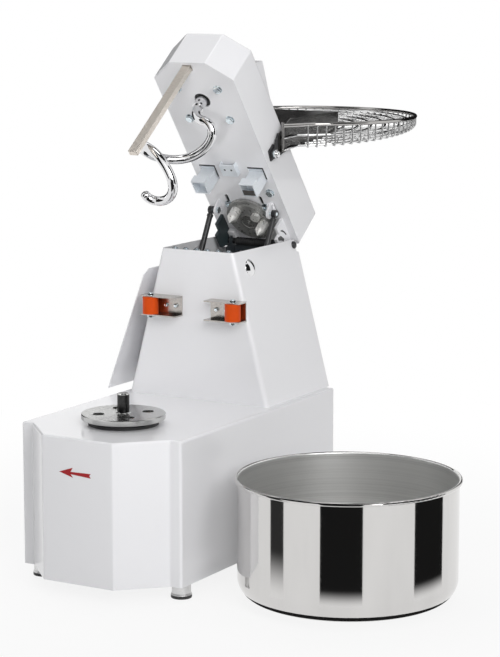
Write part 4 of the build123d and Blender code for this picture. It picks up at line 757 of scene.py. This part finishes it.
def add_bridge_nuts():
    """Nuts with washers in a row on the column's bridge."""
    washer_height = 1.2
    form = Form()
    for bolt in range(BRIDGE_BOLTS):
        x = BRIDGE_PITCH * (bolt - (BRIDGE_BOLTS - 1) / 2)
        form.washer(at(x, BRIDGE_Y, BRIDGE_Z), inner=4.6, outer=9.4, height=washer_height)
        form.nut(at(x, BRIDGE_Y, BRIDGE_Z + washer_height), radius=8.4, height=6.0, stud=4.4)
    add_piece("bridge_nuts", form, "frame", "zinc", BOLT_ZINC)


def add_rear_well_shade():
    """Dark plate behind the hinge sleeve, put there as painted shade of the column's well."""
    form = Form()
    form.box(at(0, 0, 0), x=(-61.5, 61.5), y=(563.5, 565.5), z=(602, 647.4))
    add_piece("rear_well_shade", form, "frame", "frame_steel", bevel=0.5)


def add_hinge_caps():
    """Domed caps on the ends of the hinge pin."""
    column_x = 94.2
    form = Form()
    for side in SIDES:
        place = at(side * column_x, HINGE_PIN.y, HINGE_PIN.z, (side, 0, COLUMN_LEAN))
        form.dome(place, radius=8.6, height=4.4, foot=1.6)
    add_piece("hinge_caps", form, "frame", "black_plastic", MATERIALS["black_paint"])


def add_rear_screws():
    """Screws with washers along the rear cover's edges."""
    inset = 18
    form = Form()
    for level in (356, 488, 622):
        reach = COLUMN_HALF_WIDTH - COLUMN_LEAN * (level - COLUMN_FOOT) - inset
        for side in SIDES:
            place = at(side * reach, REAR_COVER_Y, level, (0, 1, 0))
            form.dome(place, radius=5.2, height=2.4, foot=0.8)
            form.washer(place, inner=5.0, outer=7.4, height=0.8)
    add_piece("rear_screws", form, "frame", "zinc", BOLT_ZINC)


def add_foot_collars():
    """Collars around the lower ends of the feet."""
    profile = [(19.8, 0), (22, 0), (21.4, 2.2), (20.3, 3.4), (19.8, 3.4)]
    form = Form()
    for side in SIDES:
        for y in FOOT_ROWS:
            form.lathe(at(side * FOOT_X, y, FOOT_PAD), profile, closed=True)
    add_piece("foot_collars", form, "frame", "zinc", FOOT_STEEL)


def add_button_bezels():
    """Bezels of the push buttons."""
    button_rise = 183
    profile = [(14.8, 0), (19.4, 0), (19.4, 1.6), (17.6, 4.4), (15.6, 5.0), (14.8, 4.4)]
    form = Form()
    for along in (95, 155):
        form.lathe(on_panel(button_rise, along), profile, closed=True)
    add_piece("button_bezels", form, "frame", "black_plastic")


def add_panel_screws():
    """Screws near the control panel's corners."""
    form = Form()
    for rise, along in ((13, 13), (277, 30), (281, 237), (13, 237)):
        form.dome(on_panel(rise, along), radius=4.6, height=2.2, foot=0.6)
    add_piece("panel_screws", form, "frame", "zinc", BOLT_ZINC)


def add_gland():
    """Cable gland at the rear: hexagon body, ribbed cap and the mouth for the lead."""
    cap_foot = 5.2
    mouth_floor = 12.0
    ribs = 24
    groove = 0.94
    place = at(GLAND.x, CABINET_REAR, GLAND.z, (0, 1, 0))
    form = Form()
    body = [ring(size, level, HEXAGON) for size, level in ((10, 0), (10, 4.4), (9.2, cap_foot))]
    form.skin(place, [[(0, 0, 0)], *body, [(0, 0, cap_foot)]])
    shares = (groove, 1) * (ribs // 2)
    cap = []
    for size, level in ((9.0, cap_foot), (9.0, 11.0), (8.0, 14.0)):
        cap.append([(x * share, y * share, level) for (x, y), share in zip(circle(size, ribs), shares)])
    cap += [ring(size, level, ribs) for size, level in ((6.2, 16.0), (4.2, 16.0), (3.6, mouth_floor))]
    form.skin(place, [[(0, 0, cap_foot)], *cap, [(0, 0, mouth_floor)]])
    add_piece("ribbed_gland", form, "frame", "black_plastic", replaces="cable_gland")


def add_strut_collars():
    """Collars at both ends of the gas struts' cylinders."""
    edge = 0.6
    shoulder = 1.6
    along = -Vector(JOINTS["strut_slide"]["axis"])
    form = Form()
    for side in SIDES:
        for start, length in ((10.6, 7.0), (160.5, 7.8)):
            centre = STRUT_TOP + along * start
            profile = [(6.0, 0), (6.9, edge), (7.2, shoulder)]
            profile += [(7.2, length - shoulder), (6.9, length - edge), (6.0, length)]
            form.lathe(at(side * STRUT_X, centre.y, centre.z, along), profile, closed=True)
    add_piece("strut_collars", form, "strut_tubes", "black_plastic")


# Stage, in metres
FLAG_STEPS = 12
FADE_FOOT = 0.010
FADE_FOOT_STRENGTH = 0.97
DARK_STRENGTH = 0.015
FLOOR_REACH = (-14.0, 14.0)


def stage_material(name, build):
    material = bpy.data.materials.new(name)
    material.use_nodes = True
    tree = material.node_tree
    tree.nodes.clear()
    output = tree.nodes.new("ShaderNodeOutputMaterial")
    tree.links.new(build(tree), output.inputs["Surface"])
    return material


def seen_rays(tree):
    """1 for camera, glossy and transmission rays."""
    path = tree.nodes.new("ShaderNodeLightPath")
    total = path.outputs["Is Camera Ray"]
    for name in ("Is Glossy Ray", "Is Transmission Ray"):
        total = join_values(tree, "MAXIMUM", total, path.outputs[name])
    return total


def floor_shader(tree):
    """Pale floor: near white to the eye, with the object's soft shadow kept."""
    tone = 0.72
    near_and_far = (0.5, 1.8)
    whiteness = (0.86, 1.0)
    diffuse = tree.nodes.new("ShaderNodeBsdfDiffuse")
    diffuse.inputs["Color"].default_value = (tone, tone, tone, 1)
    glow = tree.nodes.new("ShaderNodeEmission")
    place = tree.nodes.new("ShaderNodeTexCoord")
    reach = tree.nodes.new("ShaderNodeVectorMath")
    reach.operation = "LENGTH"
    tree.links.new(place.outputs["Object"], reach.inputs[0])
    rise = map_range(tree, reach.outputs["Value"], near_and_far, whiteness, "SMOOTHSTEP")
    mix = tree.nodes.new("ShaderNodeMixShader")
    tree.links.new(join_values(tree, "MULTIPLY", seen_rays(tree), rise), mix.inputs["Fac"])
    tree.links.new(diffuse.outputs["BSDF"], mix.inputs[1])
    tree.links.new(glow.outputs["Emission"], mix.inputs[2])
    return mix.outputs["Shader"]


def fading_shader(fade_top, strength):
    """Dark studio flag that pales towards the floor, below a height."""
    def build(tree):
        place = tree.nodes.new("ShaderNodeTexCoord")
        split = tree.nodes.new("ShaderNodeSeparateXYZ")
        tree.links.new(place.outputs["Object"], split.inputs["Vector"])
        levels = (FADE_FOOT, fade_top)
        strengths = (FADE_FOOT_STRENGTH, strength)
        fade = map_range(tree, split.outputs["Z"], levels, strengths, "SMOOTHSTEP")
        glow = tree.nodes.new("ShaderNodeEmission")
        tree.links.new(fade, glow.inputs["Strength"])
        return glow.outputs["Emission"]
    return build


def dark_shader(tree):
    """Plain black studio flag."""
    glow = tree.nodes.new("ShaderNodeEmission")
    glow.inputs["Strength"].default_value = DARK_STRENGTH
    return glow.outputs["Emission"]


def flat_corners(x, y, level):
    return [(*corner, level) for corner in rectangle(x, y)]


def add_floor():
    mesh = bpy.data.meshes.new("floor")
    mesh.from_pydata(flat_corners(FLOOR_REACH, FLOOR_REACH, 0), [], [(0, 1, 2, 3)])
    mesh.materials.append(stage_material("floor_paper", floor_shader))
    floor = bpy.data.objects.new("floor", mesh)
    scene.collection.objects.link(floor)


def add_flag(name, verts, faces, material):
    """A studio flag that only polished surfaces see."""
    mesh = bpy.data.meshes.new(name)
    mesh.from_pydata(verts, [], faces)
    mesh.materials.append(material)
    flag = bpy.data.objects.new(name, mesh)
    flag.visible_camera = False
    flag.visible_diffuse = False
    flag.visible_shadow = False
    flag.visible_transmission = False
    scene.collection.objects.link(flag)


def round_flag(name, centre, radius, turns, levels, material):
    """An upright curved flag: its turns are degrees from the camera's direction."""
    towards = Vector((CAMERA.x - centre.x, CAMERA.y - centre.y, 0)).normalized()
    across = Vector((-towards.y, towards.x, 0))
    verts = []
    for step in range(FLAG_STEPS + 1):
        turn = math.radians(turns[0] + (turns[1] - turns[0]) * step / FLAG_STEPS)
        place = centre + (towards * math.cos(turn) + across * math.sin(turn)) * radius
        verts += [(place.x, place.y, level) for level in levels]
    faces = [(foot, foot + 2, foot + 3, foot + 1) for foot in range(0, 2 * FLAG_STEPS, 2)]
    add_flag(name, verts, faces, material)


def ring_flag(name, centre, radii, level, material):
    """A flat ring-shaped flag."""
    count = 4 * FLAG_STEPS
    inner, outer = [circle(radius, count) for radius in radii]
    verts = []
    for pair in zip(inner, outer):
        verts += [(centre.x + x, centre.y + y, level) for x, y in pair]
    faces = []
    for step in range(count):
        after = (step + 1) % count
        faces.append((2 * step, 2 * after, 2 * after + 1, 2 * step + 1))
    add_flag(name, verts, faces, material)


def add_bowl_flags(dark):
    """Flags around the bowl, and a dark ring at its foot."""
    black = stage_material("studio_flag", fading_shader(fade_top=0.046, strength=0.012))
    grey = stage_material("studio_flag_grey", fading_shader(fade_top=0.112, strength=0.036))
    cards = (((-19.3, 10.3), black), ((50.0, 81.7), black), ((-60.5, -47.9), grey))
    for number, (turns, card) in enumerate(cards):
        round_flag(f"bowl_flag_{number}", BOWL, radius=0.36, turns=turns, levels=(0.0, 0.42), material=card)
    ring_flag("foot_flag", BOWL, radii=(0.19, 0.217), level=0.0008, material=dark)


def add_head_flags(dark):
    """Larger flags around, behind, under and above the head."""
    for number, turns in enumerate(((38, 78), (-82, -42), (126, 150), (-160, -125))):
        name = f"head_flag_{number}"
        round_flag(name, HEAD_MIDDLE, radius=1.7, turns=turns, levels=(0.45, 2.6), material=dark)
    round_flag("back_flag", HEAD_MIDDLE, radius=0.95, turns=(118, 242), levels=(0.74, 1.35), material=dark)
    low = flat_corners(x=(-0.12, 0.9), y=(-1.05, -0.14), level=0.42)
    add_flag("low_flag", low, [(0, 1, 2, 3)], dark)
    round_flag("front_flag", HEAD_MIDDLE, radius=1.25, turns=(-26, 26), levels=(0.42, 0.86), material=dark)
    ring_flag("roof_flag", HEAD_MIDDLE, radii=(0.45, 1.3), level=2.6, material=dark)


def add_flags():
    """Dark flags that give polished metal its stripes."""
    dark = stage_material("studio_flag_high", dark_shader)
    add_bowl_flags(dark)
    add_head_flags(dark)


def hang_lamp(data, place, target, power, mirrored):
    """Hang a lamp that looks at a target. Polished surfaces show it only where it is mirrored."""
    data.energy = power
    lamp = bpy.data.objects.new(data.name, data)
    lamp.location = place
    lamp.rotation_euler = (Vector(target) - Vector(place)).to_track_quat("-Z", "Y").to_euler()
    lamp.visible_camera = False
    lamp.visible_glossy = mirrored
    scene.collection.objects.link(lamp)


def add_softbox(name, place, target, size, power, mirrored=True):
    """A square soft lamp."""
    data = bpy.data.lights.new(name, "AREA")
    data.shape = "SQUARE"
    data.size = size
    hang_lamp(data, place, target, power, mirrored)


def add_spot(name, place, target, cone, power):
    """A snooted lamp that lights one shaded place."""
    data = bpy.data.lights.new(name, "SPOT")
    data.spot_size = math.radians(cone)
    data.spot_blend = 1.0
    data.shadow_soft_size = 0.25
    hang_lamp(data, place, target, power, mirrored=False)


def add_lamps():
    """Soft lamps around the machine, and spots for the head's underside, the panel and the flange."""
    middle = (0.1, 0.2, 0.5)
    left_side = (-0.15, 0.4, 0.5)
    add_softbox("key", (2.4, -3.2, 2.6), middle, size=2.4, power=14)
    add_softbox("side", (3.3, -2.4, 2.4), middle, size=2.4, power=100)
    add_softbox("top", (-0.2, 0.2, 3.4), (0, 0.2, 0), size=3.0, power=32)
    add_softbox("left", (-3.2, 0.4, 1.5), left_side, size=2.0, power=24, mirrored=False)
    add_spot("head_spot", (0.9, -2.6, 0.62), (0.0, 0.42, 0.88), cone=12.0, power=90)
    add_spot("panel_spot", (2.4, -3.9, 1.2), (-0.20, 0.30, 0.47), cone=4.5, power=250)
    add_spot("flange_spot", (2.6, -3.6, 0.7), (0.197, 0.0, 0.20), cone=5.0, power=175)
    add_softbox("rear", (-2.4, 2.2, 2.2), left_side, size=2.0, power=30, mirrored=False)


def add_world():
    """White to the eye and in reflections, and a soft fill for the rest."""
    fill = 0.29
    white = 1.0
    world = bpy.data.worlds.new("studio")
    scene.world = world
    world.use_nodes = True
    tree = world.node_tree
    back = tree.nodes["Background"]
    back.inputs["Color"].default_value = (1, 1, 1, 1)
    tree.links.new(map_range(tree, seen_rays(tree), (0.0, 1.0), (fill, white)), back.inputs["Strength"])


add_camera()
dress_nodes()
add_arrow()
add_sleeve()
add_plate_washers()
add_plate_nuts()
add_latch_painted_shade()
add_striker_hole_shade()
add_hinge_block()
add_ear_channel()
add_leaf_slot_shade()
add_spiral_screws_and_hole_shade()
add_spiral_tip()
add_coupling_hub()
add_pivot_domes()
add_turntable_rims()
add_roller_caps()
add_bracket_sockets()
add_bridge_nuts()
add_rear_well_shade()
add_hinge_caps()
add_rear_screws()
add_foot_collars()
add_button_bezels()
add_panel_screws()
add_gland()
add_strut_collars()
add_world()
add_floor()
add_flags()
add_lamps()
